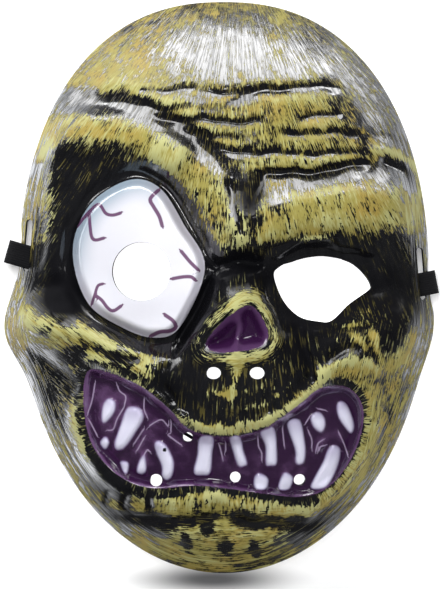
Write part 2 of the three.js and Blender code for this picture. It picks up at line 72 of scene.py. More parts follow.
# Raised and sunk regions with a drawn edge; each edge runs from outside the drawn line to inside it
EYEBALL_RISE = 6.0
EYEBALL_EDGE = (0.5, -4.0)
EYEBALL_MOAT_DEPTH = 2.5
EYEBALL_MOAT_OFFSET = 2.5
EYEBALL_MOAT_WIDTH = 3.0
NOSE_PIT_DEPTH = 9.0
NOSE_PIT_EDGE = (1.0, -6.0)
NOSE_RIM_RISE = 1.3
NOSE_RIM_OFFSET = 4.0
NOSE_RIM_WIDTH = 3.2
MOUTH_DEPTH = 6.0
MOUTH_EDGE = (1.0, -4.0)
TOOTH_EDGE = (1.2, -1.8)
GUM_RIDGE_RISE = 0.7
GUM_RIDGE_WIDTH = 0.9

# How brows, ridges and creases run out at their ends
BROW_POWER = 3.4
RIDGE_END = (-0.3, 0.12)
CREASE_END = (0.0, 0.15)

# Waves that ridges and creases wander by: strength, turns one way and the other, and start
WARP_REACH = 0.6
WAVES_ACROSS = ((1.0, 0.21, 0.09, 0.0), (0.6, 0.43, -0.21, 1.3))
WAVES_ALONG = ((1.0, 0.23, 0.08, 0.7), (0.5, 0.53, -0.17, 2.1))

# Slots, strap and the rim above it
SLOT_LENGTH = 22.5
SLOT_WIDTH = 3.0
RIM_LIFT = 2.3
RIM_LIFT_FULL = 7.0
RIM_LIFT_NONE = 14.0
STRAP_TAIL = 10.0
STRAP_STEP = 1.2
STRAP_ACROSS = 10
ROUTE_STEPS = 4
STATION_STEPS = 3

# An end of the strap seen from the side: how far out from the rim and how high, before and after its loop
LOOP_TOP = 8.0
LOOP_BOTTOM = 0.95
LOOP_STEPS = 9
LOOP_WAY_OUT = ((-16, LOOP_TOP - 0.5), (-10, LOOP_TOP - 0.1), (-5, LOOP_TOP), (-2, LOOP_TOP))
LOOP_WAY_BACK = ((-4, LOOP_BOTTOM), (-6.5, 1.6), (-9, 3.6), (-11.5, 5.6), (-14, 6.35), (-19, 6.1))

# Mesh of the shell
GRID_ACROSS = 190
GRID_ALONG = 236
SNAP_ROUNDS = 6
SNAP_MARGIN = 3.0
ON_EDGE = 1e-9
RELIEF_STEP = 1.0
RELIEF_BLUR = 3.2
RELIEF_MARGIN_ACROSS = 14.0
RELIEF_MARGIN_ALONG = 10.0
FAR = 50.0
TOOTH_REACH_ACROSS = 14.0
TOOTH_REACH_ALONG = 16.0

# Brush cover: paint that creases lose, wrinkles keep, and the nose, lips and side walls carry
BASE_COVER = 0.22
PATCH_POWER = 3
CREASE_COVER = 0.45
CHIN_GROOVE_COVER = 0.2
WRINKLE_RAISED = 0.5
WRINKLE_LIP = 1.7
WRINKLE_LIP_WIDTH = 1.2
WRINKLE_LIP_COVER = 0.6
NOSE_RIM_COVER = 0.85
NOSE_RIM_COVER_LOST = 0.45
NOSE_RIM_LOST_ACROSS = (8, 20)
NOSE_PAINT_OFFSET = 3.6
NOSE_PAINT_WIDTH = 1.3
LIP_BORDER = 1.2
LIP_BORDER_EDGE = (1.2, -0.8)
LIP_BORDER_COVER = -1.8
WALL_COVER = 0.1
WALL_COVER_FROM = (0.88, 0.95)
WALL_COVER_BELOW = (95, 60)

# Brush strokes: which way each part's strokes run, and where they set in
STROKES = ("fan", "cheek", "jowl", "chin", "wall", "lip", "nose")
STROKE_SEED = 7.3
FAN_CENTRE = (7.0, 150.0)
FAN_RADIUS = 90.0
CHEEK_STROKE = -38.0
JOWL_STROKE = 78.0
WALL_STROKE = 45.0
WALL_STROKES_FROM = (0.86, 0.93)
WALL_STROKES_BELOW = (90, 60)
LIP_STROKES_FROM = (4.5, 2)
LIP_ROUND = 330.0
NOSE_STROKES_FROM = (9, 6)
NOSE_ROUND = 110.0

# Upper left of the eyeball, where painted shade darkens its edge, and of the gum, where painted light pales
# the purple; and the dot on one tooth
LIT_EYE_START = 30.0
LIT_EYE_REACH = 90.0
LIT_GUM_REACH = 4.0
TOOTH_DOT = (-23.0, -68.6)

# Noises: scale per millimetre, detail and roughness
NOISE_SWING = 4.0
STREAK_ROUGHNESS = 0.55
PATCH_NOISE = (0.17, 4.0, 0.6)
CLOUD_NOISE = (0.055, 3.0, 0.6)
GRAIN_NOISE = (0.75, 3.0, 0.6)
RIPPLE_NOISE = (0.3, 2.0)
BACK_NOISE = (0.09, 4.0, 0.6)
BACK_GLOSS_NOISE = (0.5, 3.0)
BACK_RIPPLE_NOISE = (0.25, 2.0)
FUZZ_NOISE = (3.0, 3.0)
FLOOR_NOISE = (0.004, 2.0)

# Khaki paint: what adds to its amount, and the levels at which each effect sets in and is full
AMOUNT_WEIGHTS = {"proud": 0.62, "fine": 0.42, "broad": 0.26, "patch": 0.34, "grain": 0.16}
WORN_LEVELS = (0.7, -0.7)
WORN_SHARE = 1.25
WORN_LEAST = 0.2
FLECK_BROAD = 0.4
FLECK_LEVELS = (0.6, 1.2)
FLECK_WEIGHT = -1.8
KHAKI_LEVELS = (-0.08, 0.16)
TUFT_LEVELS = (-1.0, 0.5)
TUFT_COVER = (-3.2, -0.9)
HAIR_LEVELS = (0.45, 1.1)
HAIR_SHARE = 0.85
WARM_LEVELS = (0.42, 0.68)
THICK_LEVELS = (-0.1, 0.75)
PALE_BROAD = 0.5
PALE_FINE = 0.4
PALE_LEVELS = (0.25, 1.5)

# Paint of the mouth, the nose, the teeth and the eyeball, with painted light and shade on each
INK_WOBBLE = 0.1
INK_EDGE = (0.25, -0.25)
# Painted light and shade of the purple: paler on the lit upper left and raised parts, darker in deep parts
# and the nose pit
PURPLE_LIT = 0.9
PURPLE_PATCH = 0.3
PURPLE_LEVELS = (-0.8, 1.0)
NOSE_DARK = 0.6
LINE_REACH = (1.6, 1.1)
# Painted highlights along the gum creases: their width and softness, and how strongly they show
GUM_LINE = (0.27, 0.22)
GUM_HIGHLIGHT_SHARE = 0.65
TOOTH_PAINT_EDGE = (0.5, -0.5)
# Painted shade on the teeth: darker at the edge and towards the top
TOOTH_SHADE_EDGE = (0.3, -1.0)
TOP_SHADE_LEVELS = (0.5, 0.0)
TOP_SHADE_SHARE = 0.65
DOT_EDGE = (1.1, 0.7)
BALL_PAINT_EDGE = (0.15, -0.25)
# Painted shade on the eyeball: along its edge, and blue-grey at the upper left
BALL_SHADE_EDGE = (-0.4, -4.5)
BALL_UPPER_SHADE_EDGE = (-12.0, -1.0)
BALL_LIT_LEVELS = (0.2, 0.65)
VEIN_LINE = (1.0, 0.3)
VEIN_SHARE = 0.92

# Gloss and bump of the painted sheet; a bump is its strength and its depth in metres
HAZE_FINE = 0.5
HAZE_LEVELS = (-0.8, 1.2)
HAZE_LOSS = -0.5
DULL_ROUGHNESS = 0.45
PAINTED_GLOSS = 0.12
PAINT_SPECULAR = 0.025
SHEET_IOR = 1.5
COAT_ROUGHNESS = 0.14
COAT_IOR = 2.2
BRISTLE_LIFT = 0.18
RIPPLE_LIFT = 0.8
RIPPLE_BROAD_LIFT = 0.06
DRAWN_FROM = (0.8, 0.95)
DRAWN_LIFT = 0.45
GUM_LIFT = 1.6
PAINT_BUMP = (0.4, 0.00025)

# Back of the sheet, and weave of the elastic in millimetres
BACK_LEVELS = (0.35, 0.7)
BACK_ROUGHNESS = (0.22, 0.42)
BACK_BUMP = (0.25, 0.0003)
CORD_PITCH = 0.95
THREAD_PITCH = 0.62
CORD_LIFT = 0.6
LATTICE_LIFT = 0.5
# Tone of the elastic: random fuzz, and painted shade between the raised threads
FUZZ_TONE = 0.6
RAISED_TONE = 0.25
TONE_LEVELS = (-0.1, 0.7)
ELASTIC_ROUGHNESS = (0.75, 0.95)
ELASTIC_SPECULAR = 0.15
ELASTIC_BUMP = (0.6, 0.00012)

# Floor, its glow, its painted grey shadow past the chin in millimetres, and the room around it
FLOOR_SQUARES = 4
FLOOR_TINTS = ((0.86, 0.86, 0.87, 1), (0.9, 0.9, 0.9, 1))
FLOOR_ROUGHNESS = 0.6
FLOOR_GLOW_TINT = (1, 1, 1, 1)
# Painted light of the floor: it glows under the mask and near it, and less towards the chin
FLOOR_GLOW_REACH = (1.9, 1.3)
FLOOR_GLOW_FROM = (-150.0, -70.0)
MIDDLE_GLOW_REACH = (0.96, 0.75)
# Painted shadow: a grey ellipse on the floor past the chin, which also dims the glow there
PAINTED_SHADOW_CENTRE = (-3.0, -125.5, 0.0)
PAINTED_SHADOW_RADII = (48.0, 9.0, 1.0)
PAINTED_SHADOW_LEVELS = (1.0, 0.1)
PAINTED_SHADOW_TINT = (0.1, 0.1, 0.105, 1)
ROOM_TINT = (0.94, 0.96, 1.0, 1)
SIDE_LOW = (-0.44, -0.78)
SIDE_LEFT = (-0.2, -0.65)
SIDE_RIGHT = (0.2, 0.65)
SIDE_RIGHT_SHARE = 0.45
SENSOR_WIDTH = 36.0
VIEW_END = 20.0
AIM_HEIGHT = 0.03


def table(columns, lines):
    """Rows with named columns."""
    names = columns.split()
    return [SimpleNamespace(name=name, **dict(zip(names, values))) for name, values in lines.items()]


# Broad swells and hollows of the face
SWELLS = table("x y rx ry turn rise power", {
    "forehead": (4, 84, 60, 26, 0, 4, 2),
    "glabella": (10, 32, 13, 20, 0, 4, 2),
    "nose": (9, -14, 17, 25, 0, 15, 2),
    "muzzle": (6, -43, 33, 19, 0, 8, 2.5),
    "mouth_block": (2, -66, 68, 32, 0, 5, 3),
    "chin": (-1, -110, 34, 15, 0, 9, 2.5),
    "cheek_left_outer": (-76, -17, 15, 12, -10, 6, 2),
    "cheek_right_outer": (77, -22, 14, 16, 0, 5, 2),
    "cheek_left": (-45, -28, 22, 9, -24, 5, 2),
    "cheek_right": (54, -28, 22, 12, 8, 6, 2),
    "socket_left": (-36, 14, 41, 45, 0, -10, 4),
    "eyeball": (-34, 11, 30, 38, 0, 7, 2),
    "socket_right": (45, 1, 34, 17, 0, -9, 3),
    "socket_left_corner": (-63, -6, 10, 6, 10, -4, 2),
    "bag_left": (-68, -7, 7.5, 6, -20, 3.2, 4),
    "nostril_left": (-3, -35, 7, 4.5, 0, -2.5, 2),
    "nostril_right": (16, -35, 7, 4.5, 0, -2.5, 2),
    "jowl_right": (74, -52, 12, 22, -20, -3, 2),
    "jowl_left": (-72, -48, 12, 22, 20, -4, 2),
    "forehead_roll_1": (36, 79, 17, 3.4, 3, 0.7, 2),
    "forehead_roll_2": (42, 68, 15, 2.6, 0, 0.7, 2),
    "forehead_roll_3": (30, 53, 17, 2.2, 2, 0.7, 2),
    "forehead_roll_4": (-5, 77, 16, 2.4, -2, 0.5, 2),
})

# Full-topped brows: flat across, steep at both sides
BROWS = table("x0 y0 x1 y1 bow half_width rise", {
    "brow_left_outer": (-75, 63, -22, 57, 6.5, 9.5, 6.5),
    "brow_left_inner": (-22, 56, 4, 21, 5, 8.5, 6),
    "brow_right": (14, 26, 78, 34, 3.5, 11, 8.5),
})

# Ridges and creases, each an arc from one end to the other
FOLDS = table("x0 y0 x1 y1 bow half_width rise", {
    "orbit_left": (-74, 62, -71, 8, 1, 5, 4),
    "brow_left_crease": (-74, 80, 3, 52, 8.5, 6, -1.4),
    "brow_left_upper": (-50, 86, -2, 64, 6, 4, 1.5),
    "brow_right_crease_in": (12, 48.5, 66, 54, -2.6, 2.2, -3.2),
    "brow_right_crease_out": (66, 54, 83, 39, 4.5, 2.2, -3.4),
    "brow_right_tail": (66, 59, 88, 40, 6, 3, 2.6),
    "lid_right": (22, 12, 70, 9, 5, 2.6, -3),
    "lid_right_edge": (23, 13.5, 46, 20.5, 1.4, 1.6, 2.8),
    "nose_root": (-4, 8, 20, 9, 1.5, 3, -4.5),
    "nose_line_low": (-22, -31, -2.5, 6.6, 2, 0.9, 1.5),
    "nose_line_high": (-2.5, 6.6, 9, 8.8, 1.2, 0.9, 1.2),
    "septum": (8, -13, 8, -27, 0, 1.6, 3),
    "frown_right": (17, 48, 12.5, 30, 1, 1.8, -2),
    "frown_left": (3, 46, 9, 20, 1, 1.6, -2.4),
    "nose_side_left": (-2, 7, -23, -31, 2, 2, -3),
    "nose_side_right": (20, 6, 30, -22, -3, 2.6, -2.2),
    "muzzle_left": (-23, -31, -17, -50, -3, 2.2, -2.5),
    "muzzle_line_right": (10, -51.5, 36, -36.5, -2, 0.9, 1.2),
    "lip_upper_left": (-54, -31, -16, -55, 3, 2.8, 2.4),
    "lip_upper": (-16, -55, 21, -55, -4.5, 2.8, 2.4),
    "lip_upper_right": (21, -55, 46, -37, -2, 2.8, 2.4),
    "lip_lower_left": (-61, -52, -43, -86, -5, 3.4, 3),
    "lip_lower_mid": (-43, -86, 0, -89, -3, 3.4, 2.6),
    "lip_lower_right": (0, -89, 38, -94, -1.5, 3.4, 2.6),
    "lip_lower_end": (38, -94, 66, -60, -6, 3.6, 1.8),
    "lip_right": (66, -60, 59, -37, -4, 3.6, 1.4),
    "chin_groove_left": (-50, -96, 2, -97, -2.5, 2.4, -3),
    "chin_groove_right": (2, -97, 46, -99.5, -2.5, 2.4, -3),
    "pleat_1": (-47, -86, -49, -92, 0, 1.3, -2.5),
    "pleat_2": (-39, -88, -40.5, -94, 0, 1.3, -2.5),
    "pleat_3": (-29.5, -89, -30, -95, 0, 1.3, -2.5),
    "wrinkle_1": (-36, 84, -8, 84, -1, 1.6, -1.2),
    "wrinkle_2": (-9, 82.5, 34, 86, -1.5, 1.7, -1.4),
    "wrinkle_3": (0, 76.5, 54, 84, 3.5, 1.9, -1.6),
    "wrinkle_4": (-30, 72, 22, 70, -1, 1.7, -1.5),
    "wrinkle_5": (22, 64.5, 62, 64.5, 1, 1.9, -1.5),
    "wrinkle_6": (-3, 58, 64, 57.5, -1.5, 1.9, -1.6),
    "wrinkle_7": (-34, 77.5, -10, 76.5, -1, 1.4, -1.0),
    "wrinkle_8": (32, 71, 54, 72.5, 1, 1.6, -1.2),
    "wrinkle_9": (-14, 65, 12, 64, -1, 1.5, -1.0),
    "wrinkle_10": (12, 53, 44, 53, -0.6, 1.4, -0.7),
    "cheek_fold_left": (-80, -14, -24, -37, 2, 6, 4),
    "cheek_line_left": (-62, -20, -30, -30, -3, 1.8, -1.8),
    "jowl_crease_left": (-84, -27, -60, -46, 3, 4.5, -2.4),
    "cheek_fold_right": (43, -36, 66, -33.5, 3, 3.4, 2.6),
    "cheek_hollow_right": (44, -31, 62, -26, 2, 2.2, -2),
    "cheek_line_right": (62, -20, 66, -34, 1, 1.6, -1.6),
    "nasolabial_right": (30, -14, 41, -41, 1, 2.4, -1.8),
    "nasolabial_line": (36, -13, 44, -41, -1, 0.9, 1.2),
    "lid_lower_right": (31, -17, 70, -5, -4, 4, 1.4),
    "lid_lower_line": (48, -16.5, 74, -11, -1, 1, 0.5),
})

# Teeth: how far each stands out, then its outline
TEETH = {
    "left_corner": (3, (-46.6, -47), (-43.9, -48.8), (-44.6, -53.2), (-48.6, -57.7), (-49.9, -55),
                    (-49, -49.5)),
    "left_large": (3.5, (-38.6, -51), (-33.6, -51), (-31.9, -55), (-34.6, -60.2), (-39.6, -67.4),
                   (-43, -69), (-44.3, -66.4), (-41.6, -58)),
    "left_stub_high": (2, (-48.4, -63.4), (-46.7, -65.8), (-48.4, -68.8), (-50.5, -66)),
    "left_stub_low": (2, (-41.9, -74), (-38.8, -74.2), (-38.5, -77), (-39.6, -79.2), (-41.2, -77)),
    "left_drop": (2.5, (-31.7, -70.9), (-30.9, -75), (-31.2, -78.2), (-33.2, -79.2), (-34.9, -78),
                  (-33.8, -73.6)),
    "left_fang": (3, (-25.8, -64.8), (-22.4, -66.8), (-19.3, -73.5), (-19.8, -79.4), (-22, -81.5),
                  (-24.1, -80), (-24.3, -75.5), (-27.2, -67.4)),
    "front_left": (3, (-8, -63.2), (-2.5, -63.2), (-3, -70), (-3.7, -78.2), (-6.8, -79.4), (-10.6, -78.4),
                   (-9, -70.5)),
    "front_thin": (3, (4.7, -63.4), (8.7, -62.9), (10.2, -69), (11.8, -74.2), (10.6, -75.5), (8, -75.4),
                   (6, -69.5)),
    "front_right": (3, (17.4, -61.4), (20.5, -59.5), (23.4, -59.7), (24.4, -70), (24.2, -74.7),
                    (21.8, -75.4), (19.8, -74.6), (19.6, -67)),
    "right_long": (3, (29, -57), (31.9, -55.4), (34.6, -57.4), (36.4, -67.5), (36, -73.4), (34.2, -75.1),
                   (32.4, -74), (32.2, -68.6), (29.4, -60.6)),
    "right_round": (3, (39.6, -53.4), (42.6, -52.9), (44.7, -56), (44.6, -59.6), (43, -61.2), (40.4, -59.6),
                    (38.8, -56)),
    "right_corner": (3, (50, -49.8), (52, -48.2), (54.8, -50.8), (57.3, -58), (56.3, -62), (53.8, -59.8),
                     (50.6, -54.8)),
    "right_large": (3.5, (46.4, -68.6), (48.8, -67), (51.5, -69), (50.6, -75.6), (46.6, -83.6), (43, -85.6),
                    (39, -85), (41, -80), (44.2, -74)),
    "lower_stub_left": (2.5, (15, -80.4), (17, -78.7), (20.6, -80.8), (20.2, -84.8), (17.4, -85.6),
                        (15, -84.4)),
    "lower_stub_right": (2.5, (26.2, -80.8), (28.1, -78.4), (31.2, -80.6), (30.2, -85), (27.6, -85.9),
                         (25.2, -85)),
}

# Fine raised creases of the gum
GUM_LINES = (
    ((-52.6, -40.5), (-53.9, -47.8), (-55.8, -53.8)),
    ((-43.2, -41), (-42, -43.9), (-39.5, -46), (-39.9, -49.4)),
    ((-40.4, -51), (-43.2, -55.8), (-44.8, -60.1), (-46.9, -60.7)),
    ((-31.6, -47.3), (-31.6, -51.5), (-30.3, -54.9)),
    ((-29.5, -58.6), (-26.7, -56.7), (-24, -55.9), (-21.4, -58.8)),
    ((-20.1, -56.7), (-20.4, -60.9)),
    ((-21.4, -62.5), (-16.2, -66.4)),
    ((-31.9, -59.9), (-36.1, -66.4)),
    ((-34.8, -69.3), (-31.6, -63.5)),
    ((-29.3, -69.6), (-30.4, -68.8), (-31.9, -71.2)),
    ((-55, -56.7), (-51.8, -63)),
    ((0.2, -66.7), (1.6, -72.5)),
    ((2.8, -69.3), (2.8, -65.7)),
    ((26.7, -59.4), (27.6, -67.2)),
    ((37.7, -60.7), (39.3, -64.6), (39.2, -68.3)),
    ((16.4, -63.6), (16.7, -67.2), (18, -69.9), (18, -73)),
    ((36.6, -57.3), (38.3, -54.6)),
    ((41.1, -69.3), (41.9, -66.2), (44, -64.6)),
    ((44.8, -67), (42.9, -67.6), (42.4, -69.3)),
    ((50.8, -61.5), (53.4, -67.2), (54.8, -71.4)),
    ((42.2, -51.3), (44.8, -52)),
)

# Round and oval holes through the sheet
HOLES = table("x y rx ry", {
    "pupil": (-32.8, 6.7, 12.3, 12.3),
    "nostril_left": (-2.3, -35.9, 3.1, 2.5),
    "nostril_right": (16, -35.9, 3.2, 2.5),
    "breath_lip": (-13.2, -63.2, 2.2, 2.2),
    "breath_left": (-26.7, -81.7, 2.6, 2.6),
    "breath_middle": (6.9, -80.2, 2.3, 2.3),
    "breath_right": (34.2, -81.7, 2.5, 2.5),
})

# Where the strap leaves the rim on each side: the rim's edge, the way out, the slot and the loop's reach
STRAP_ENDS = table("side rim_x rim_y aim slot_x slot_y slot_turn loop_out", {
    "left": (-1, -85.4, 14, 164, -82.1, 18, 4.2, 1.9),
    "right": (1, 90.1, 1.9, 11, 86.8, 5.9, 4.5, -0.6),
})

# Route of the strap between its sewn ends: it turns from flat to standing on its edge
STRAP_ROUTE = table("x y z turn", {
    "left_sewn": (-66.2, 8.5, 7.2, 0),
    "left_easing": (-59, 4, 6.6, 35),
    "left_turned": (-52.5, -6, 5.8, 75),
    "left_upper": (-47, -19, 5.4, 90),
    "left_middle": (-38.5, -36, 5.4, 90),
    "left_lower": (-27, -52, 5.4, 90),
    "under_lip": (-13.4, -63.4, 5.4, 90),
    "low_left": (0, -68.5, 5.4, 90),
    "low_right": (15, -68.5, 5.4, 90),
    "right_lower": (30, -61, 5.4, 90),
    "right_middle": (43.5, -47, 5.4, 90),
    "right_upper": (54.5, -31, 5.4, 90),
    "right_turned": (61.5, -18, 5.8, 75),
    "right_easing": (66.5, -7.5, 6.6, 35),
    "right_sewn": (72, -1.7, 7.3, 0),
})

# Closed edges of the eyeball, the other eye's opening, the nose pit and the mouth
EYEBALL_POINTS = (
    (-37.4, 45.6), (-24.8, 41.8), (-14.7, 26.3), (-5.9, 8.2), (-16.4, -16.6), (-28.1, -21.2),
    (-42.4, -16.2), (-55, -7.4), (-61.3, 7.4), (-61.3, 22), (-53.3, 36.8),
)
EYE_POINTS = (
    (23.1, 4.8), (25.2, 8.4), (30.7, 10.9), (42.8, 13.4), (55, 11.1), (61.7, 5.3), (64.5, 0.6),
    (63, -1.5), (55, -7.1), (47.5, -14), (41.6, -14.3), (33.6, -12.2), (26.9, -5.3),
)
NOSE_POINTS = (
    (-5.5, -23.3), (1.3, -14.5), (11.3, -7.8), (16.4, -10.3),
    (20.6, -19.1), (18, -24.6), (8.8, -26.7), (-1.7, -27.1),
)
MOUTH_POINTS = (
    (-55.9, -35.9), (-48.3, -35.5), (-33.2, -41.4), (-21.4, -50.6), (-12.2, -59.9), (3.8, -62.8),
    (19.7, -59), (34, -48.9), (43.3, -42.2), (55, -42.6), (61.3, -52.3), (58.4, -68.3), (48.7, -83),
    (36.1, -88.8), (15.1, -86.7), (-8, -83.8), (-29, -85), (-43.7, -79.2), (-54.2, -66.2), (-57.5, -49.4),
)

# Painted veins of the eyeball: half width, then the points that each passes
VEINS = {
    "upper_left": (0.7, (-60.5, 25.8), (-55, 32.1), (-50.8, 35.1), (-47.9, 31.3), (-44.9, 30.5),
                   (-41.6, 31.3)),
    "upper_left_fork": (0.7, (-55, 32.1), (-54.6, 26.3), (-53.8, 21.2), (-52.1, 20), (-48.7, 20.8)),
    "upper_right": (0.8, (-25.6, 41), (-29, 37.2), (-27.7, 34.2), (-25.2, 30), (-23.9, 25.8)),
    "right_high": (0.75, (-16, 15.3), (-12.2, 10.7), (-8.8, 7.4)),
    "right_low": (0.75, (-19.7, 3.6), (-15.1, 4.4), (-11.8, 4.4), (-10.1, 3.2)),
    "lower_left": (0.62, (-49.1, 1.5), (-51.2, 0.6), (-52.5, -3.2), (-53.8, -6.9)),
    "lower_left_fork": (0.72, (-52.5, -3.2), (-49.6, -5.3), (-47, -8.6), (-44.5, -9.9), (-41.2, -7.8)),
    "lower_right": (0.8, (-22.7, -11.6), (-19.3, -14.1), (-18.1, -16.6), (-19.7, -17.9)),
    "lower_edge": (0.85, (-18.5, -17.4), (-21, -18.4), (-24.8, -18.7), (-28.6, -20.4)),
}

# Patches where the brush left more paint (above 0) or the black sheet shows (below 0)
PATCHES = table("x y rx ry turn cover", {
    "socket_left_upper": (-54, 45.5, 20, 12, -14, -1.8),
    "socket_left_outer": (-66, 20, 7, 30, 0, -1.7),
    "temple_left": (-71, 5, 12, 13, 0, -2.4),
    "bag_left": (-67, -7, 9, 7.5, 0, -3),
    "nose_root": (10.9, 8.2, 18, 8, 0, -2.6),
    "nose_side_left": (-7, -7, 10, 20, -27, -2.4),
    "muzzle_left": (-15, -39, 14, 17, 0, -2.6),
    "nostrils": (7, -38, 19, 8, 0, -1.4),
    "muzzle_low": (11, -51.5, 22, 6, 0, -1.3),
    "muzzle_right": (30, -36, 10, 10, 20, -0.8),
    "nose_side_right": (33, -20, 11, 20, 14, -1.2),
    "under_brow_right": (48, 15.5, 30, 5.8, 3, -2),
    "eye_corner_right": (76, 1, 11, 18, 0, -3.2),
    "cheek_black_right": (57, -23, 26, 9, 6, -1.1),
    "cheek_corner_right": (74, -22, 6, 8, 20, -1),
    "cheek_spot_1": (-74.8, -17.9, 4, 3, 0, -1.6),
    "cheek_spot_2": (-60.5, -27.9, 5, 3, -20, -1.9),
    "cheek_spot_3": (-42.8, -28.8, 7, 4, -25, -2),
    "cheek_spot_4": (-68.9, -30, 5, 3, -20, -1.6),
    "cheek_spot_5": (-63, -16, 4, 2.4, -30, -1.5),
    "jowl_left": (-76, -46, 10, 16, 25, -0.8),
    "mouth_corner_left": (-48, -81, 6, 13, 42, -2.6),
    "mouth_under_right": (33, -90.6, 10, 2.4, -4, -2),
    "chin_left": (-26, -102, 9, 4.6, -14, -2.2),
    "chin_left_wall": (-45, -100, 11, 4, -28, -1.2),
    "chin_right": (36, -103.5, 13, 4.5, 20, -1.6),
    "chin_middle": (12, -98.5, 6, 3.4, -20, -2.4),
    "chin_spot_1": (-5.4, -102.3, 3, 3, 0, -2.6),
    "chin_spot_2": (-13.8, -108.2, 2.2, 4.4, 10, -2.6),
    "chin_spot_3": (2.4, -110.5, 3.2, 2.6, 0, -2.6),
    "chin_spot_4": (15.2, -111.3, 2.2, 4, 10, -2.6),
    "chin_paint": (-2, -106, 38, 14, 0, 0.25),
    "crown_middle": (10, 101, 36, 13, 0, -1),
    "crown_right": (60, 80, 17, 26, 35, -0.6),
    "crown_stroke": (25, 106, 5, 13, -12, 0.8),
    "crease_left": (-50, 78, 26, 5.5, -8, -1.5),
    "crease_inner": (-16, 65, 18, 5.5, -30, -1),
    "brow_right_top": (46, 45.5, 24, 2.6, 14, -1.1),
    "brow_right_end": (72, 46, 8, 5, -25, -0.9),
    "brow_right_inner": (24, 35, 7, 5, 10, -0.7),
    "frown_shade": (13, 37, 5, 14, 8, -0.9),
    "glabella_shade": (8, 30, 10, 16, 0, -1),
    "forehead_middle": (0, 66, 18, 17, 0, -0.25),
    "forehead_left": (-44, 92, 24, 13, 34, 0.6),
    "forehead_right": (38, 69, 26, 17, 0, 0.3),
    "cheek_left": (-54, -20, 30, 9, -24, 0.6),
    "cheek_right": (69, -52, 13, 28, -6, 0.4),
    "cheek_crescent": (55, -34, 11, 3.2, 6, 1.2),
    "cheek_stroke_1": (54, -16.2, 5, 1.2, 4, 1.4),
    "cheek_stroke_2": (60, -23.5, 6, 2.6, -42, 1.8),
    "cheek_stroke_3": (65.5, -22, 3, 5.5, 10, 1.5),
    "cheek_stroke_4": (80, -25, 3, 9, -28, 1.2),
})

# Places where the black is a sprayed paint, duller than the bare sheet
DULL = table("x y rx ry turn share", {
    "nose_root": (9, 4, 22, 9, 0, 1),
    "nose_top": (3, -8, 11, 11, 0, 0.85),
    "bag_left": (-66, -4, 17, 15, 0, 1.12),
    "cheek_left": (-36, -31, 10, 5, -25, 0.85),
    "under_eye_right": (53, -11, 42, 14, 8, 1.12),
    "cheek_right": (73, -10, 11, 16, 0, 1),
    "mouth_corner_left": (-44, -90, 19, 9, -14, 0.7),
    "glabella": (13, 38, 9, 16, 0, 1),
    "muzzle_left": (-20, -40, 11, 15, 0, 0.7),
    "muzzle_right": (32, -23, 9, 19, 14, 1),
    "wrinkles": (12, 69, 58, 18, 0, 0.55),
    "brow_right_top": (46, 47, 26, 5, 12, 0.5),
    "nose_pit": (8, -26, 15, 5, 0, 1),
    "cheek_hollow_right": (54, -29, 13, 5, 8, 0.8),
})

# Bands that the brush followed
BANDS = table("x0 y0 x1 y1 bow half_width cover", {
    "brow_left_outer": (-77, 63, -22, 56, 6, 5, 0.6),
    "brow_left_under": (-72, 57, -26, 50.5, 6, 3.5, -0.9),
    "brow_left_inner": (-22, 57, 2, 22, 5, 5.5, 0.45),
    "brow_right": (17, 25, 78, 33, 4, 8, 0.65),
    "philtrum": (9, -30, 4.5, -45, 0, 2, 2.2),
    "philtrum_foot": (4.5, -45, -8, -43.5, 0, 1.2, 1.7),
    "lip_upper_left": (-40, -38.5, -16, -56, 3, 1.4, 0.9),
    "lip_upper": (-16, -56.5, 21, -56.5, -4.5, 1.9, 1.15),
    "lip_upper_right": (21, -56.5, 43, -39.5, -2, 1.8, 1.05),
    "lip_left": (-58, -56, -50, -78, -4, 1.6, 0.8),
    "lip_lower_mid": (-48, -91, 0, -92.5, -2.5, 3, 0.45),
    "lip_lower_right": (0, -92.5, 38, -96.5, -1.5, 3, 0.05),
    "lip_lower_end": (38, -96, 62, -76, -3, 3, 0.3),
    "pleat_1": (-46, -84, -49, -93, 0, 1.5, -2.4),
    "pleat_2": (-38.6, -86, -40.5, -95, 0, 1.5, -2.4),
    "pleat_3": (-29.4, -87, -30, -96, 0, 1.5, -2.4),
})

# Wrinkles with paint along their lower lip: all but one
PAINTED_WRINKLES = {row.name for row in FOLDS if row.name.startswith("wrinkle_")} - {"wrinkle_3"}

# Borders of the eyeball, the open eye and the nose: how the cover changes from far outside to near the edge
EDGE_COVER = table("cover far near", {
    "eyeball": (-2.6, 8.5, 4),
    "eye": (-2, 8, 2),
    "nose": (-1.6, 2.6, 0.9),
})

# Stretches where the black border of the lips is wider or narrower, and where they set in
LIP_BORDERS = table("across along wider", {
    "left": ((0, -28), None, 2.6),
    "right": ((20, 40), None, -0.5),
    "upper_right": ((36, 50), (-56, -46), 1.9),
    "lower": ((40, 30), (-78, -84), 0.7),
})

# Parts of the face with their own strokes or light, and where they set in
CHIN_REGION, CHEEK_REGION, JOWL_REGION, LIT_GUM = table("across along", {
    "chin": (None, (-90, -100)),
    "cheek": ((-28, -40), (6, -8)),
    "jowl": ((40, 55), (-5, -25)),
    "lit_gum": ((-8, -45), (-80, -48)),
})

# Bristle streaks of the brush
STREAKS = table("width length seed detail", {
    "fine": (0.38, 3.6, 3.1, 1.0),
    "scratch": (0.55, 5.5, 40.3, 2.0),
    "broad": (1.2, 15.0, 21.7, 2.0),
    "hairline": (0.42, 9.0, 57.9, 1.0),
})

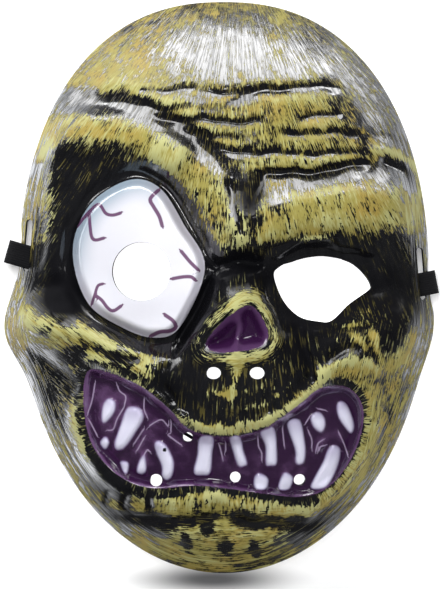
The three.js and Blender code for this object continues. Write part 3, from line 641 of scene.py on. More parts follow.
# Soft lights: place and size in metres, share of the main power, and if each fills or shows in the gloss
LIGHTS = table("x y z wide high share fill gloss", {
    "overhead_fill": (-0.25, 0.4, 1.6, 1.2, 1.2, 1.0, True, False),
    "key_light": (0.15, 0.8, 1.4, 0.3, 0.3, 0.1, True, True),
    "crown_fill": (-0.5, 0.9, 0.6, 1.0, 0.4, 0.45, True, False),
    "chin_fill": (0.1, -1.0, 0.8, 0.8, 0.5, 0.12, True, False),
    "right_fill": (1.1, -0.2, 0.8, 0.8, 0.5, 0.18, True, False),
    "crown_sheen": (0.0, 1.0, 0.1, 1.6, 0.9, 1.25, False, True),
    "left_sheen": (-0.85, 0.75, -0.4, 0.6, 0.4, 0.13, False, True),
    "right_sheen": (0.85, 0.75, -0.4, 0.6, 0.4, 0.13, False, True),
})


def eased(low, high, value):
    """Smooth step from 0 at low to 1 at high."""
    t = np.clip((value - low) / (high - low), 0, 1)
    return t * t * (3 - 2 * t)


def bell(value, width):
    """1 at 0, falling away to both sides."""
    return np.exp(-((value / width) ** 2))


def within(row, x, y):
    """Share from 0 to 1 of a part of the face that sets in across it, along it or both."""
    share = np.ones(np.shape(x))
    if row.across:
        share *= eased(*row.across, x)
    if row.along:
        share *= eased(*row.along, y)
    return share


def bent(a, b, c, d, t):
    """A point of the smooth curve from b to c, which comes from a and goes on to d."""
    square = (2 * a - 5 * b + 4 * c - d) * t**2
    cubic = (3 * b - a - 3 * c + d) * t**3
    return 0.5 * (2 * b + (c - a) * t + square + cubic)


def closed_curve(points, per=8):
    """A closed smooth loop through the points."""
    knots = np.array(points, float)
    before, after, beyond = (np.roll(knots, shift, axis=0) for shift in (1, -1, -2))
    parts = [bent(before, knots, after, beyond, t) for t in np.linspace(0, 1, per, endpoint=False)]
    return np.stack(parts, axis=1).reshape(-1, 2)


def open_curve(points, per=6):
    """A smooth line through the points, in any number of dimensions."""
    knots = np.array(points, float)
    padded = np.vstack([2 * knots[0] - knots[1], knots, 2 * knots[-1] - knots[-2]])
    shares = np.linspace(0, 1, per, endpoint=False)
    line = [bent(*padded[i - 1:i + 3], t) for i in range(1, len(padded) - 2) for t in shares]
    line.append(padded[-2])
    return np.array(line)


def arc_line(row, steps=10):
    """The points of a bowed line from one end of a row to the other."""
    t = np.linspace(0, 1, steps + 1)
    dx, dy = row.x1 - row.x0, row.y1 - row.y0
    lift = 4 * row.bow * t * (1 - t) / math.hypot(dx, dy)
    return np.stack([row.x0 + dx * t - dy * lift, row.y0 + dy * t + dx * lift], axis=1)


def from_stretch(x, y, start, end):
    """Distance to a straight stretch, and how far along it the nearest point is, from 0 to 1."""
    (ax, ay), (dx, dy) = start, end - start
    t = np.clip(((x - ax) * dx + (y - ay) * dy) / (dx * dx + dy * dy), 0, 1)
    return np.hypot(x - ax - t * dx, y - ay - t * dy), t


def nearest_on_line(x, y, line):
    """Distance to a line and how far along it the nearest point is, from 0 to 1."""
    distance = np.full(np.shape(x), np.inf)
    share = np.zeros(np.shape(x))
    steps = len(line) - 1
    for i in range(steps):
        away, t = from_stretch(x, y, line[i], line[i + 1])
        nearer = away < distance
        distance = np.where(nearer, away, distance)
        share = np.where(nearer, (i + t) / steps, share)
    return distance, share


def signed_distance(x, y, loop):
    """Distance to a closed loop, below 0 inside it, and how far round it the nearest point is."""
    closed = np.vstack([loop, loop[:1]])
    distance, share = nearest_on_line(x, y, closed)
    inside = np.zeros(np.shape(x), bool)
    for (ax, ay), (bx, by) in zip(closed[:-1], closed[1:]):
        if ay != by:
            inside ^= ((ay > y) != (by > y)) & (x < (bx - ax) * (y - ay) / (by - ay) + ax)
    return np.where(inside, -distance, distance), share


def line_sides(x, y, lines, widths):
    """Distance to the nearest of several lines: signed by side and scaled by its width, and plain."""
    signed = np.full(np.shape(x), FAR)
    plain = np.full(np.shape(x), FAR)
    for points, width in zip(lines, widths):
        line = open_curve(points)
        for start, end in zip(line[:-1], line[1:]):
            away, _ = from_stretch(x, y, start, end)
            (ax, ay), (dx, dy) = start, end - start
            side = np.where(dx * (y - ay) - dy * (x - ax) < 0, -away, away)
            nearer = away < plain
            plain = np.where(nearer, away, plain)
            signed = np.where(nearer, side / width, signed)
    return signed, plain


def turned(row, x, y):
    """Distance from a row's middle in its own turned radii."""
    turn = math.radians(row.turn)
    along = (x - row.x) * math.cos(turn) + (y - row.y) * math.sin(turn)
    across = (y - row.y) * math.cos(turn) - (x - row.x) * math.sin(turn)
    return np.hypot(along / row.rx, across / row.ry)


def outline_radius(angle):
    """Radius of the rim at an angle, seen from the front."""
    across, along = np.abs(np.cos(angle)), np.abs(np.sin(angle))
    power = np.where(np.sin(angle) >= 0, CROWN_POWER, JAW_POWER)
    radius = ((across / HALF_WIDTH) ** power + (along / HALF_HEIGHT) ** power) ** (-1 / power)
    rise = np.degrees(np.arctan2(np.sin(angle), across))
    swell = np.where(np.cos(angle) < 0, CHEEK_SWELL_LEFT, CHEEK_SWELL_RIGHT)
    return radius * (1 + swell * bell(rise - CHEEK_ANGLE, CHEEK_SPREAD))


def rim_share(x, y):
    """How far out from the middle, as a share of the way to the rim."""
    return np.hypot(x - CENTRE_X, y) / outline_radius(np.arctan2(y, x - CENTRE_X))


RIM_LEVEL = math.sqrt(1 - DOME_SHARE**DOME_POWER)
EYEBALL_LOOP = closed_curve(EYEBALL_POINTS)
EYE_LOOP = closed_curve(EYE_POINTS)
NOSE_LOOP = closed_curve(NOSE_POINTS)
MOUTH_LOOP = closed_curve(MOUTH_POINTS)


def tooth_edges(x, y):
    """Each tooth's rise, the signed distance to its edge and the share of its length from root to tip."""
    for rise, *points in TEETH.values():
        loop = closed_curve(points, per=5)
        low, high = loop.min(axis=0), loop.max(axis=0)
        near = np.abs(x - (low[0] + high[0]) / 2) < TOOTH_REACH_ACROSS
        near &= np.abs(y - (low[1] + high[1]) / 2) < TOOTH_REACH_ALONG
        edge = np.full(np.shape(x), FAR)
        edge[near], _ = signed_distance(x[near], y[near], loop)
        yield rise, edge, np.clip((high[1] - y) / (high[1] - low[1]), 0, 1)


def gum_sides(x, y):
    """Distance to the nearest crease of the gum: signed by side, and plain."""
    return line_sides(x, y, GUM_LINES, [1] * len(GUM_LINES))


def waves(rows, first, second):
    """A sum of slow waves, each turned between two ways."""
    return sum(strength * np.sin(a * first + b * second + start) for strength, a, b, start in rows)


def warped(x, y):
    """Coordinates that wander a little, so that creases do not run straight."""
    return x + WARP_REACH * waves(WAVES_ACROSS, y, x), y + WARP_REACH * waves(WAVES_ALONG, x, y)


def face_relief(x, y):
    """Height of the face over its plain dome."""
    total = np.zeros(np.shape(x))
    for row in SWELLS:
        total += row.rise * np.exp(-(turned(row, x, y) ** row.power))
    for row in BROWS:
        distance, share = nearest_on_line(x, y, arc_line(row))
        taper = eased(*RIDGE_END, np.minimum(share, 1 - share))
        total += row.rise * taper * np.exp(-((distance / row.half_width) ** BROW_POWER))
    wx, wy = warped(x, y)
    for row in FOLDS:
        distance, share = nearest_on_line(wx, wy, arc_line(row))
        end = CREASE_END if row.rise < 0 else RIDGE_END
        taper = eased(*end, np.minimum(share, 1 - share))
        total += row.rise * taper * bell(distance, row.half_width)
    ball, _ = signed_distance(x, y, EYEBALL_LOOP)
    total += EYEBALL_RISE * eased(*EYEBALL_EDGE, ball)
    total -= EYEBALL_MOAT_DEPTH * bell(ball - EYEBALL_MOAT_OFFSET, EYEBALL_MOAT_WIDTH)
    pit, _ = signed_distance(x, y, NOSE_LOOP)
    total -= NOSE_PIT_DEPTH * eased(*NOSE_PIT_EDGE, pit)
    total += NOSE_RIM_RISE * bell(pit - NOSE_RIM_OFFSET, NOSE_RIM_WIDTH)
    mouth, _ = signed_distance(x, y, MOUTH_LOOP)
    total -= MOUTH_DEPTH * eased(*MOUTH_EDGE, mouth)
    for rise, edge, _ in tooth_edges(x, y):
        total += rise * eased(*TOOTH_EDGE, edge)
    _, gum = gum_sides(x, y)
    total += GUM_RIDGE_RISE * bell(gum, GUM_RIDGE_WIDTH)
    return total


def sheet_height(x, y):
    """Height of the sheet over the floor: the dome, with the face fading out at the rim."""
    share = rim_share(x, y)
    left = np.maximum(1 - (DOME_SHARE * share) ** DOME_POWER, DOME_LEAST)
    dome = DOME_HEIGHT * (np.sqrt(left) - RIM_LEVEL)
    return dome + eased(1, FACE_FADE_FROM, share) * face_relief(x, y)


def trim_share(angle):
    """The rim is trimmed a little higher where the strap passes under it."""
    radius = outline_radius(angle)
    x, y = CENTRE_X + radius * np.cos(angle), radius * np.sin(angle)
    middle = np.where(x < 0, STRAP_ENDS[0].rim_y, STRAP_ENDS[1].rim_y)
    lift = RIM_LIFT * eased(RIM_LIFT_NONE, RIM_LIFT_FULL, np.abs(y - middle))
    return (1 - (lift / DOME_HEIGHT + RIM_LEVEL) ** 2) ** (1 / DOME_POWER) / DOME_SHARE


def disc_to_sheet(p, q):
    """A point of the unit disc goes to its place on the sheet, seen from the front."""
    angle = np.arctan2(q * HALF_HEIGHT, p * HALF_WIDTH)
    disc = np.minimum(np.hypot(p, q), 1)
    share = disc * (1 - (1 - trim_share(angle)) * disc**TRIM_POWER)
    radius = share * outline_radius(angle)
    return CENTRE_X + radius * np.cos(angle), radius * np.sin(angle)


def oval_loop(row, steps=48):
    """The edge of a round or oval hole."""
    turn = np.linspace(0, 2 * math.pi, steps, endpoint=False)
    return np.stack([row.x + row.rx * np.cos(turn), row.y + row.ry * np.sin(turn)], axis=1)


def slot_loop(row, steps=8):
    """A long slot with round ends, turned to follow the rim."""
    end = SLOT_WIDTH / 2
    half = SLOT_LENGTH / 2 - end
    turn = np.linspace(0, math.pi, steps + 1)
    upper = np.stack([end * np.cos(turn), half + end * np.sin(turn)], axis=1)
    loop = np.vstack([upper, -upper])
    angle = math.radians(row.side * row.slot_turn)
    x = row.slot_x + loop[:, 0] * math.cos(angle) - loop[:, 1] * math.sin(angle)
    y = row.slot_y + loop[:, 0] * math.sin(angle) + loop[:, 1] * math.cos(angle)
    return np.stack([x, y], axis=1)


def snap_to_loop(place, edges, rim, loop):
    """Moves the points beside a hole's edge onto it, and marks those inside or on the edge."""
    low, high = loop.min(axis=0) - SNAP_MARGIN, loop.max(axis=0) + SNAP_MARGIN
    near = np.all((place > low) & (place < high), axis=1) & ~rim
    index = np.flatnonzero(near)
    local = np.full(len(place), -1)
    local[index] = np.arange(len(index))
    pairs = local[edges[np.all(near[edges], axis=1)]]
    xy = place[index]
    side, share = signed_distance(xy[:, 0], xy[:, 1], loop)
    closed = np.vstack([loop, loop[:1]])
    at = np.arange(len(closed)) / (len(closed) - 1)
    for _ in range(SNAP_ROUNDS):
        first, second = side[pairs[:, 0]], side[pairs[:, 1]]
        crossing = first * second < 0
        if not crossing.any():
            break
        nearer = np.where(np.abs(first) < np.abs(second), pairs[:, 0], pairs[:, 1])[crossing]
        chosen = np.unique(nearer)
        xy[chosen] = np.stack([np.interp(share[chosen], at, closed[:, k]) for k in range(2)], axis=1)
        side[chosen] = 0
    place[index] = xy
    inside = np.zeros(len(place), bool)
    inside[index] = side <= ON_EDGE
    strictly = np.zeros(len(place), bool)
    strictly[index] = side < -ON_EDGE
    return inside, strictly


def hole_faces(place, edges, rim, corners):
    """Moves points onto the edge of every hole, and marks the triangles that lie in one."""
    loops = [EYE_LOOP] + [oval_loop(row) for row in HOLES] + [slot_loop(row) for row in STRAP_ENDS]
    gone = np.zeros(len(corners), bool)
    for loop in loops:
        inside, strictly = snap_to_loop(place, edges, rim, loop)
        middle = place[corners].mean(axis=1)
        enclosed = inside[corners].all(axis=1)
        depth, _ = signed_distance(middle[enclosed, 0], middle[enclosed, 1], loop)
        gone[np.flatnonzero(enclosed)[depth < 0]] = True
        gone |= strictly[corners].any(axis=1)
    return gone


def blurred(values, width):
    """A grid of values, smoothed by a bell of that width in grid steps."""
    reach = int(3 * width)
    weights = bell(np.arange(-reach, reach + 1), width * math.sqrt(2))
    weights /= weights.sum()
    for axis in (0, 1):
        padded = np.pad(values, [(reach, reach) if k == axis else (0, 0) for k in (0, 1)], mode="edge")
        values = np.apply_along_axis(np.convolve, axis, padded, weights, mode="valid")
    return values


def relief_steps(half, margin):
    """Even steps from one side of the relief to the other, past the rim by a margin."""
    return np.arange(-half - margin, half + margin + RELIEF_STEP, RELIEF_STEP)


def standing_out(x, y):
    """How far the sheet stands out over its own blurred shape, in millimetres."""
    xs = relief_steps(HALF_WIDTH, RELIEF_MARGIN_ACROSS)
    ys = relief_steps(HALF_HEIGHT, RELIEF_MARGIN_ALONG)
    gx, gy = np.meshgrid(xs, ys)
    raised = face_relief(gx, gy)
    proud = raised - blurred(raised, RELIEF_BLUR / RELIEF_STEP)
    u, v = (x - xs[0]) / RELIEF_STEP, (y - ys[0]) / RELIEF_STEP
    i, j = u.astype(int), v.astype(int)
    s, t = u - i, v - j
    low = proud[j, i] * (1 - s) + proud[j, i + 1] * s
    high = proud[j + 1, i] * (1 - s) + proud[j + 1, i + 1] * s
    return low * (1 - t) + high * t


def add_attribute(mesh, name, first, second, third):
    """A vector for each point of the mesh, which a material reads by its name."""
    layer = mesh.attributes.new(name, "FLOAT_VECTOR", "POINT")
    values = np.stack([first, second, third], axis=1).astype(np.float32)
    layer.data.foreach_set("vector", values.ravel())


def crease_cover(x, y):
    """Paint that the creases lost, and that the lower lips of painted wrinkles kept."""
    cover = np.zeros(np.shape(x))
    wx, wy = warped(x, y)
    for row in FOLDS:
        if row.rise >= 0:
            continue
        line = arc_line(row)
        distance, share = nearest_on_line(wx, wy, line)
        taper = eased(*CREASE_END, np.minimum(share, 1 - share))
        if row.name in PAINTED_WRINKLES:
            distance, _ = nearest_on_line(wx, wy - WRINKLE_RAISED, line)
            lower, _ = nearest_on_line(wx, wy + WRINKLE_LIP, line)
            cover += WRINKLE_LIP_COVER * taper * bell(lower, WRINKLE_LIP_WIDTH)
        depth = CHIN_GROOVE_COVER if row.name.startswith("chin_groove") else CREASE_COVER
        cover += depth * row.rise * taper * bell(distance, row.half_width)
    return cover


def paint_cover(x, y, ball, mouth, pit, eye):
    """Where the brush left paint: above 0 it covers, below 0 the black sheet shows."""
    cover = BASE_COVER + crease_cover(x, y)
    for row in PATCHES:
        cover += row.cover * np.exp(-(turned(row, x, y) ** PATCH_POWER))
    for row in BANDS:
        distance, _ = nearest_on_line(x, y, arc_line(row))
        cover += row.cover * bell(distance, row.half_width)
    for row, edge in zip(EDGE_COVER, (ball, eye, pit)):
        cover += row.cover * eased(row.far, row.near, edge)
    rim_cover = NOSE_RIM_COVER - NOSE_RIM_COVER_LOST * eased(*NOSE_RIM_LOST_ACROSS, x)
    cover += rim_cover * bell(pit - NOSE_PAINT_OFFSET, NOSE_PAINT_WIDTH)
    border = LIP_BORDER + sum(row.wider * within(row, x, y) for row in LIP_BORDERS)
    outer, inner = LIP_BORDER_EDGE
    cover += LIP_BORDER_COVER * eased(border + outer, border + inner, mouth)
    wall = eased(*WALL_COVER_FROM, rim_share(x, y)) * eased(*WALL_COVER_BELOW, y)
    return cover + np.where(x < 0, WALL_COVER, -WALL_COVER) * wall


def straight_stroke(x, y, angle):
    """The way across and along strokes that run at an angle."""
    c, s = math.cos(math.radians(angle)), math.sin(math.radians(angle))
    return y * c - x * s, x * c + y * s


def write_strokes(mesh, x, y, mouth, mouth_share, pit, pit_share):
    """Gives the shell the way across and along each kind of brush stroke, and that kind's share."""
    share = rim_share(x, y)
    lip = eased(*LIP_STROKES_FROM, mouth)
    nose = eased(*NOSE_STROKES_FROM, pit) * (1 - lip)
    left = (1 - lip) * (1 - nose)
    wall = eased(*WALL_STROKES_FROM, share) * eased(*WALL_STROKES_BELOW, y) * left
    left = left - wall
    chin = within(CHIN_REGION, x, y) * left
    left = left - chin
    cheek = within(CHEEK_REGION, x, y) * left
    jowl = within(JOWL_REGION, x, y) * left
    fan = left - cheek - jowl
    level = np.sqrt(sum(part**2 for part in (lip, nose, wall, chin, cheek, jowl, fan)))
    dx, dy = x - FAN_CENTRE[0], FAN_CENTRE[1] - y
    round_rim = np.arctan2(x - CENTRE_X, -y) * WALL_STROKE
    strokes = {
        "fan": (np.arctan2(dx, dy) * FAN_RADIUS, np.hypot(dx, dy), fan),
        "cheek": (*straight_stroke(x, y, CHEEK_STROKE), cheek),
        "jowl": (*straight_stroke(x, y, JOWL_STROKE), jowl),
        "chin": (y, x, chin),
        "wall": (share * HALF_WIDTH, round_rim, wall),
        "lip": (mouth_share * LIP_ROUND, mouth, lip),
        "nose": (pit, pit_share * NOSE_ROUND, nose),
    }
    for name in STROKES:
        across, along, part = strokes[name]
        add_attribute(mesh, "stroke_" + name, across, along, part / level)


def write_paint(mesh, x, y):
    """Gives the shell what its paint reads: painted edges, thin lines, brush cover and strokes."""
    ball, _ = signed_distance(x, y, EYEBALL_LOOP)
    mouth, mouth_share = signed_distance(x, y, MOUTH_LOOP)
    pit, pit_share = signed_distance(x, y, NOSE_LOOP)
    eye, _ = signed_distance(x, y, EYE_LOOP)
    tooth = np.full(np.shape(x), FAR)
    along = np.zeros(np.shape(x))
    for _, edge, share in tooth_edges(x, y):
        along = np.where(edge < tooth, share, along)
        tooth = np.minimum(tooth, edge)
    veins = [row[1:] for row in VEINS.values()]
    vein, vein_near = line_sides(x, y, veins, [row[0] for row in VEINS.values()])
    gum, gum_near = gum_sides(x, y)
    # Upper left side, where the eyeball gets painted shade and the gum painted light
    lit_eye = np.clip((y - x - LIT_EYE_START) / LIT_EYE_REACH, 0, 1)
    lit_side = np.where(mouth < LIT_GUM_REACH, within(LIT_GUM, x, y), lit_eye)
    dull = np.max([row.share * np.exp(-(turned(row, x, y) ** PATCH_POWER)) for row in DULL], axis=0)
    cover = paint_cover(x, y, ball, mouth, pit, eye)
    add_attribute(mesh, "painted_edges", ball, mouth, pit)
    add_attribute(mesh, "tooth_paint", tooth, along, lit_side)
    add_attribute(mesh, "eye_lines", vein, vein_near, rim_share(x, y))
    add_attribute(mesh, "gum_lines", gum, gum_near, np.hypot(x - TOOTH_DOT[0], y - TOOTH_DOT[1]))
    add_attribute(mesh, "brush_cover", cover, standing_out(x, y), np.minimum(dull, 1))
    write_strokes(mesh, x, y, mouth, mouth_share, pit, pit_share)


def new_object(name, mesh):
    """An object in the scene that shows a mesh."""
    thing = bpy.data.objects.new(name, mesh)
    bpy.context.scene.collection.objects.link(thing)
    return thing


def built_mesh(bm, name):
    """A mesh of what was built."""
    mesh = bpy.data.meshes.new(name)
    bm.to_mesh(mesh)
    bm.free()
    return mesh


def shade_smooth(mesh):
    """Smooth shading on every face."""
    mesh.polygons.foreach_set("use_smooth", np.ones(len(mesh.polygons), bool))


def shell_mesh(name):
    """The outside of the sheet: a grid bent to the rim, snapped to the holes and raised to the face."""
    bm = bmesh.new()
    bmesh.ops.create_grid(bm, x_segments=GRID_ACROSS, y_segments=GRID_ALONG, size=1.0)
    flat = np.array([v.co[:2] for v in bm.verts])
    a, b = np.clip(flat[:, 0], -1, 1), np.clip(flat[:, 1], -1, 1)
    x, y = disc_to_sheet(a * np.sqrt(1 - b * b / 2), b * np.sqrt(1 - a * a / 2))
    for vert, px, py in zip(bm.verts, x, y):
        vert.co = (px, py, 0)
    bmesh.ops.triangulate(bm, faces=bm.faces[:], quad_method="SHORT_EDGE")
    bm.verts.index_update()
    edges = np.array([[e.verts[0].index, e.verts[1].index] for e in bm.edges])
    rim = np.array([v.is_boundary for v in bm.verts])
    corners = np.array([[v.index for v in f.verts] for f in bm.faces])
    place = np.stack([x, y], axis=1)
    gone = hole_faces(place, edges, rim, corners)
    height = sheet_height(place[:, 0], place[:, 1])
    for vert, (px, py), pz in zip(bm.verts, place, height):
        vert.co = (px * MM, py * MM, pz * MM)
    bm.faces.ensure_lookup_table()
    cut = [bm.faces[i] for i in np.flatnonzero(gone)]
    bmesh.ops.delete(bm, geom=cut, context="FACES")
    loose = [v for v in bm.verts if not v.link_faces]
    bmesh.ops.delete(bm, geom=loose, context="VERTS")
    bmesh.ops.recalc_face_normals(bm, faces=bm.faces[:])
    if sum(f.normal.z for f in bm.faces) < 0:
        bmesh.ops.reverse_faces(bm, faces=bm.faces[:])
    for edge in bm.edges:
        edge.smooth = not edge.is_boundary
    mesh = built_mesh(bm, name)
    shade_smooth(mesh)
    return mesh


def points_of(mesh):
    """The places of a mesh's points."""
    flat = np.zeros(len(mesh.vertices) * 3, np.float32)
    mesh.vertices.foreach_get("co", flat)
    return flat.reshape(-1, 3).astype(float)


def feed(tree, node, inputs):
    """Sets a node's inputs, or links other nodes to them, by name or number."""
    for name, value in inputs.items():
        if isinstance(value, bpy.types.NodeSocket):
            tree.links.new(value, node.inputs[name])
        else:
            node.inputs[name].default_value = value


def add_node(tree, kind, inputs=None, **settings):
    """A node with its settings and inputs."""
    node = tree.nodes.new(kind)
    for name, value in settings.items():
        setattr(node, name, value)
    feed(tree, node, inputs or {})
    return node


def calc(tree, operation, first, second=0.0, third=0.0):
    """One step of arithmetic."""
    inputs = {0: first, 1: second, 2: third}
    return add_node(tree, "ShaderNodeMath", inputs, operation=operation).outputs[0]


def times(tree, first, second):
    """One value times another."""
    return calc(tree, "MULTIPLY", first, second)


def scaled(tree, value, weight, rest):
    """A value times its weight, added to the rest."""
    return calc(tree, "MULTIPLY_ADD", value, weight, rest)


def opposite(tree, share):
    """What a share leaves of 1."""
    return calc(tree, "SUBTRACT", 1.0, share)


def vector_calc(tree, operation, first, second=(0, 0, 0)):
    """One step of arithmetic on vectors."""
    node = add_node(tree, "ShaderNodeVectorMath", {0: first, 1: second}, operation=operation)
    return node.outputs["Value" if operation == "LENGTH" else "Vector"]


def step(tree, value, low, high):
    """Smooth step of a value, from 0 at low to 1 at high."""
    inputs = {"Value": value, "From Min": low, "From Max": high}
    return add_node(tree, "ShaderNodeMapRange", inputs, interpolation_type="SMOOTHSTEP").outputs[0]


def spread(tree, value, low, high):
    """A value from 0 to 1 stretched to run from low to high."""
    return add_node(tree, "ShaderNodeMapRange", {"Value": value, "To Min": low, "To Max": high}).outputs[0]


def blend(tree, share, first, second):
    """One colour over another."""
    inputs = {0: share, 6: first, 7: second}
    return add_node(tree, "ShaderNodeMix", inputs, data_type="RGBA").outputs[2]


def bumped(tree, height, strength, depth):
    """Normals of a surface that a height raises."""
    inputs = {"Height": height, "Strength": strength, "Distance": depth}
    return add_node(tree, "ShaderNodeBump", inputs).outputs[0]


def read(tree, name):
    """The three numbers of a point attribute."""
    vector = add_node(tree, "ShaderNodeAttribute", attribute_name=name).outputs["Vector"]
    return add_node(tree, "ShaderNodeSeparateXYZ", {0: vector}).outputs


def noise(tree, vector, scale, detail=2.0, roughness=0.5):
    """Cloudy noise, about 0 to 1."""
    inputs = {"Vector": vector, "Scale": scale, "Detail": detail, "Roughness": roughness}
    return add_node(tree, "ShaderNodeTexNoise", inputs).outputs[0]


def swing(tree, value):
    """A noise stretched to swing about 0."""
    return scaled(tree, value, 2 * NOISE_SWING, -NOISE_SWING)


def object_mm(tree):
    """Object coordinates in millimetres."""
    place = add_node(tree, "ShaderNodeTexCoord").outputs["Object"]
    return vector_calc(tree, "MULTIPLY", place, (1 / MM,) * 3)


def brush_streaks(tree, row):
    """Bristle streaks that run the way the brush went in each part of the face, about -2 to 2."""
    total = None
    for i, name in enumerate(STROKES):
        across, along, part = read(tree, "stroke_" + name)
        u, v = times(tree, across, 1 / row.width), times(tree, along, 1 / row.length)
        place = add_node(tree, "ShaderNodeCombineXYZ", {0: u, 1: v, 2: row.seed + STROKE_SEED * i}).outputs[0]
        level = swing(tree, noise(tree, place, 1.0, row.detail, STREAK_ROUGHNESS))
        value = times(tree, level, part)
        total = value if total is None else calc(tree, "ADD", total, value)
    return total


def thin_line(tree, signed, near, half, soft):
    """1 along a line of that half width, 0 away from it."""
    away = calc(tree, "ABSOLUTE", signed)
    return times(tree, step(tree, away, half + soft, half - soft), step(tree, near, *LINE_REACH))


def new_material(name):
    """A bare material: its tree and its shader."""
    material = bpy.data.materials.new(name)
    material.use_nodes = True
    return material, material.node_tree, material.node_tree.nodes["Principled BSDF"]


def paint_marks(tree):
    """What the paint reads from the shell, and the streaks and noises that break it up."""
    marks = SimpleNamespace(place=object_mm(tree))
    marks.ball, marks.mouth, marks.pit = read(tree, "painted_edges")
    marks.tooth, marks.tooth_along, marks.lit_side = read(tree, "tooth_paint")
    marks.vein, marks.vein_near, marks.rim_share = read(tree, "eye_lines")
    marks.gum, marks.gum_near, marks.dot = read(tree, "gum_lines")
    marks.cover, marks.proud, marks.dull = read(tree, "brush_cover")
    for row in STREAKS:
        setattr(marks, row.name, brush_streaks(tree, row))
    marks.patch = swing(tree, noise(tree, marks.place, *PATCH_NOISE))
    marks.cloud = noise(tree, marks.place, *CLOUD_NOISE)
    marks.grain = swing(tree, noise(tree, marks.place, *GRAIN_NOISE))
    return marks


def khaki_paint(tree, settings, marks):
    """Black sheet under dry-brushed khaki: its colour, and where the khaki is."""
    amount = marks.cover
    for name, weight in AMOUNT_WEIGHTS.items():
        amount = scaled(tree, getattr(marks, name), weight, amount)
    worn = scaled(tree, step(tree, marks.patch, *WORN_LEVELS), WORN_SHARE, WORN_LEAST)
    combed = scaled(tree, marks.broad, FLECK_BROAD, marks.scratch)
    fleck = times(tree, step(tree, combed, *FLECK_LEVELS), worn)
    amount = scaled(tree, fleck, FLECK_WEIGHT, amount)
    tuft = times(tree, step(tree, marks.patch, *TUFT_LEVELS), step(tree, marks.cover, *TUFT_COVER))
    hair = times(tree, step(tree, marks.hairline, *HAIR_LEVELS), tuft)
    hair = times(tree, hair, HAIR_SHARE)
    part = calc(tree, "MAXIMUM", step(tree, amount, *KHAKI_LEVELS), hair)
    khaki = blend(tree, step(tree, marks.cloud, *WARM_LEVELS), settings.khaki, settings.khaki_warm)
    khaki = blend(tree, step(tree, amount, *THICK_LEVELS), settings.khaki_dark, khaki)
    pale = scaled(tree, marks.broad, PALE_BROAD, scaled(tree, marks.fine, PALE_FINE, marks.proud))
    khaki = blend(tree, step(tree, pale, *PALE_LEVELS), khaki, settings.khaki_light)
    return blend(tree, part, settings.black, khaki), part


def purple_paint(tree, settings, marks):
    """Purple of the mouth and the nose with painted light and shade: its colour, where each is, and where the
    gum is creased.
    """
    wobble = times(tree, marks.grain, INK_WOBBLE)
    mouth = step(tree, calc(tree, "ADD", marks.mouth, wobble), *INK_EDGE)
    pit = step(tree, calc(tree, "ADD", marks.pit, wobble), *INK_EDGE)
    # Painted light and shade: paler on raised parts and the upper left, darker in the deep parts and the nose
    # pit
    purple_lit_level = scaled(tree, marks.patch, PURPLE_PATCH, scaled(tree, marks.lit_side, PURPLE_LIT, marks.proud))
    purple = blend(tree, step(tree, purple_lit_level, *PURPLE_LEVELS), settings.purple_shade, settings.purple)
    purple = blend(tree, times(tree, pit, NOSE_DARK), purple, settings.purple_shade)
    # Painted highlights: paler purple lines along the creases of the gum
    gum = thin_line(tree, marks.gum, marks.gum_near, *GUM_LINE)
    purple = blend(tree, times(tree, gum, GUM_HIGHLIGHT_SHARE), purple, settings.gum_highlight)
    return purple, mouth, pit, gum


def tooth_paint(tree, settings, marks):
    """Pale enamel with painted shade at the edge and the top of each tooth, and a black dot on one."""
    # Painted shade: darker towards the edge and the top of each tooth
    enamel = blend(tree, step(tree, marks.tooth, *TOOTH_SHADE_EDGE), settings.tooth_edge, settings.tooth)
    root = times(tree, step(tree, marks.tooth_along, *TOP_SHADE_LEVELS), TOP_SHADE_SHARE)
    enamel = blend(tree, root, enamel, settings.tooth_edge)
    return blend(tree, step(tree, marks.dot, *DOT_EDGE), enamel, settings.black)


def eyeball_paint(tree, settings, marks):
    """White of the eyeball with painted shade along its edge, blue-grey at the upper left, and painted veins.
    """
    # Painted shade: greyer all along the edge, and blue-grey along the upper left edge
    white = blend(tree, step(tree, marks.ball, *BALL_SHADE_EDGE), settings.ball_rim_shade, settings.eyeball)
    shade_above = times(tree, step(tree, marks.ball, *BALL_UPPER_SHADE_EDGE), step(tree, marks.lit_side, *BALL_LIT_LEVELS))
    white = blend(tree, shade_above, white, settings.ball_upper_left_shade)
    vein = thin_line(tree, marks.vein, marks.vein_near, *VEIN_LINE)
    return blend(tree, times(tree, vein, VEIN_SHARE), white, settings.vein)


def paint_bump(tree, marks, film, creases):
    """Thickness and bristle marks of the paint, ripples of the sheet and creases of the gum."""
    bristle = scaled(tree, marks.fine, BRISTLE_LIFT, 1.0)
    ripple = noise(tree, marks.place, *RIPPLE_NOISE)
    ripple = scaled(tree, ripple, RIPPLE_LIFT, times(tree, marks.broad, RIPPLE_BROAD_LIFT))
    lift = scaled(tree, film, bristle, ripple)
    drawn = times(tree, step(tree, marks.rim_share, *DRAWN_FROM), opposite(tree, film))
    lift = scaled(tree, times(tree, drawn, marks.broad), DRAWN_LIFT, lift)
    lift = scaled(tree, creases, GUM_LIFT, lift)
    return bumped(tree, lift, *PAINT_BUMP)


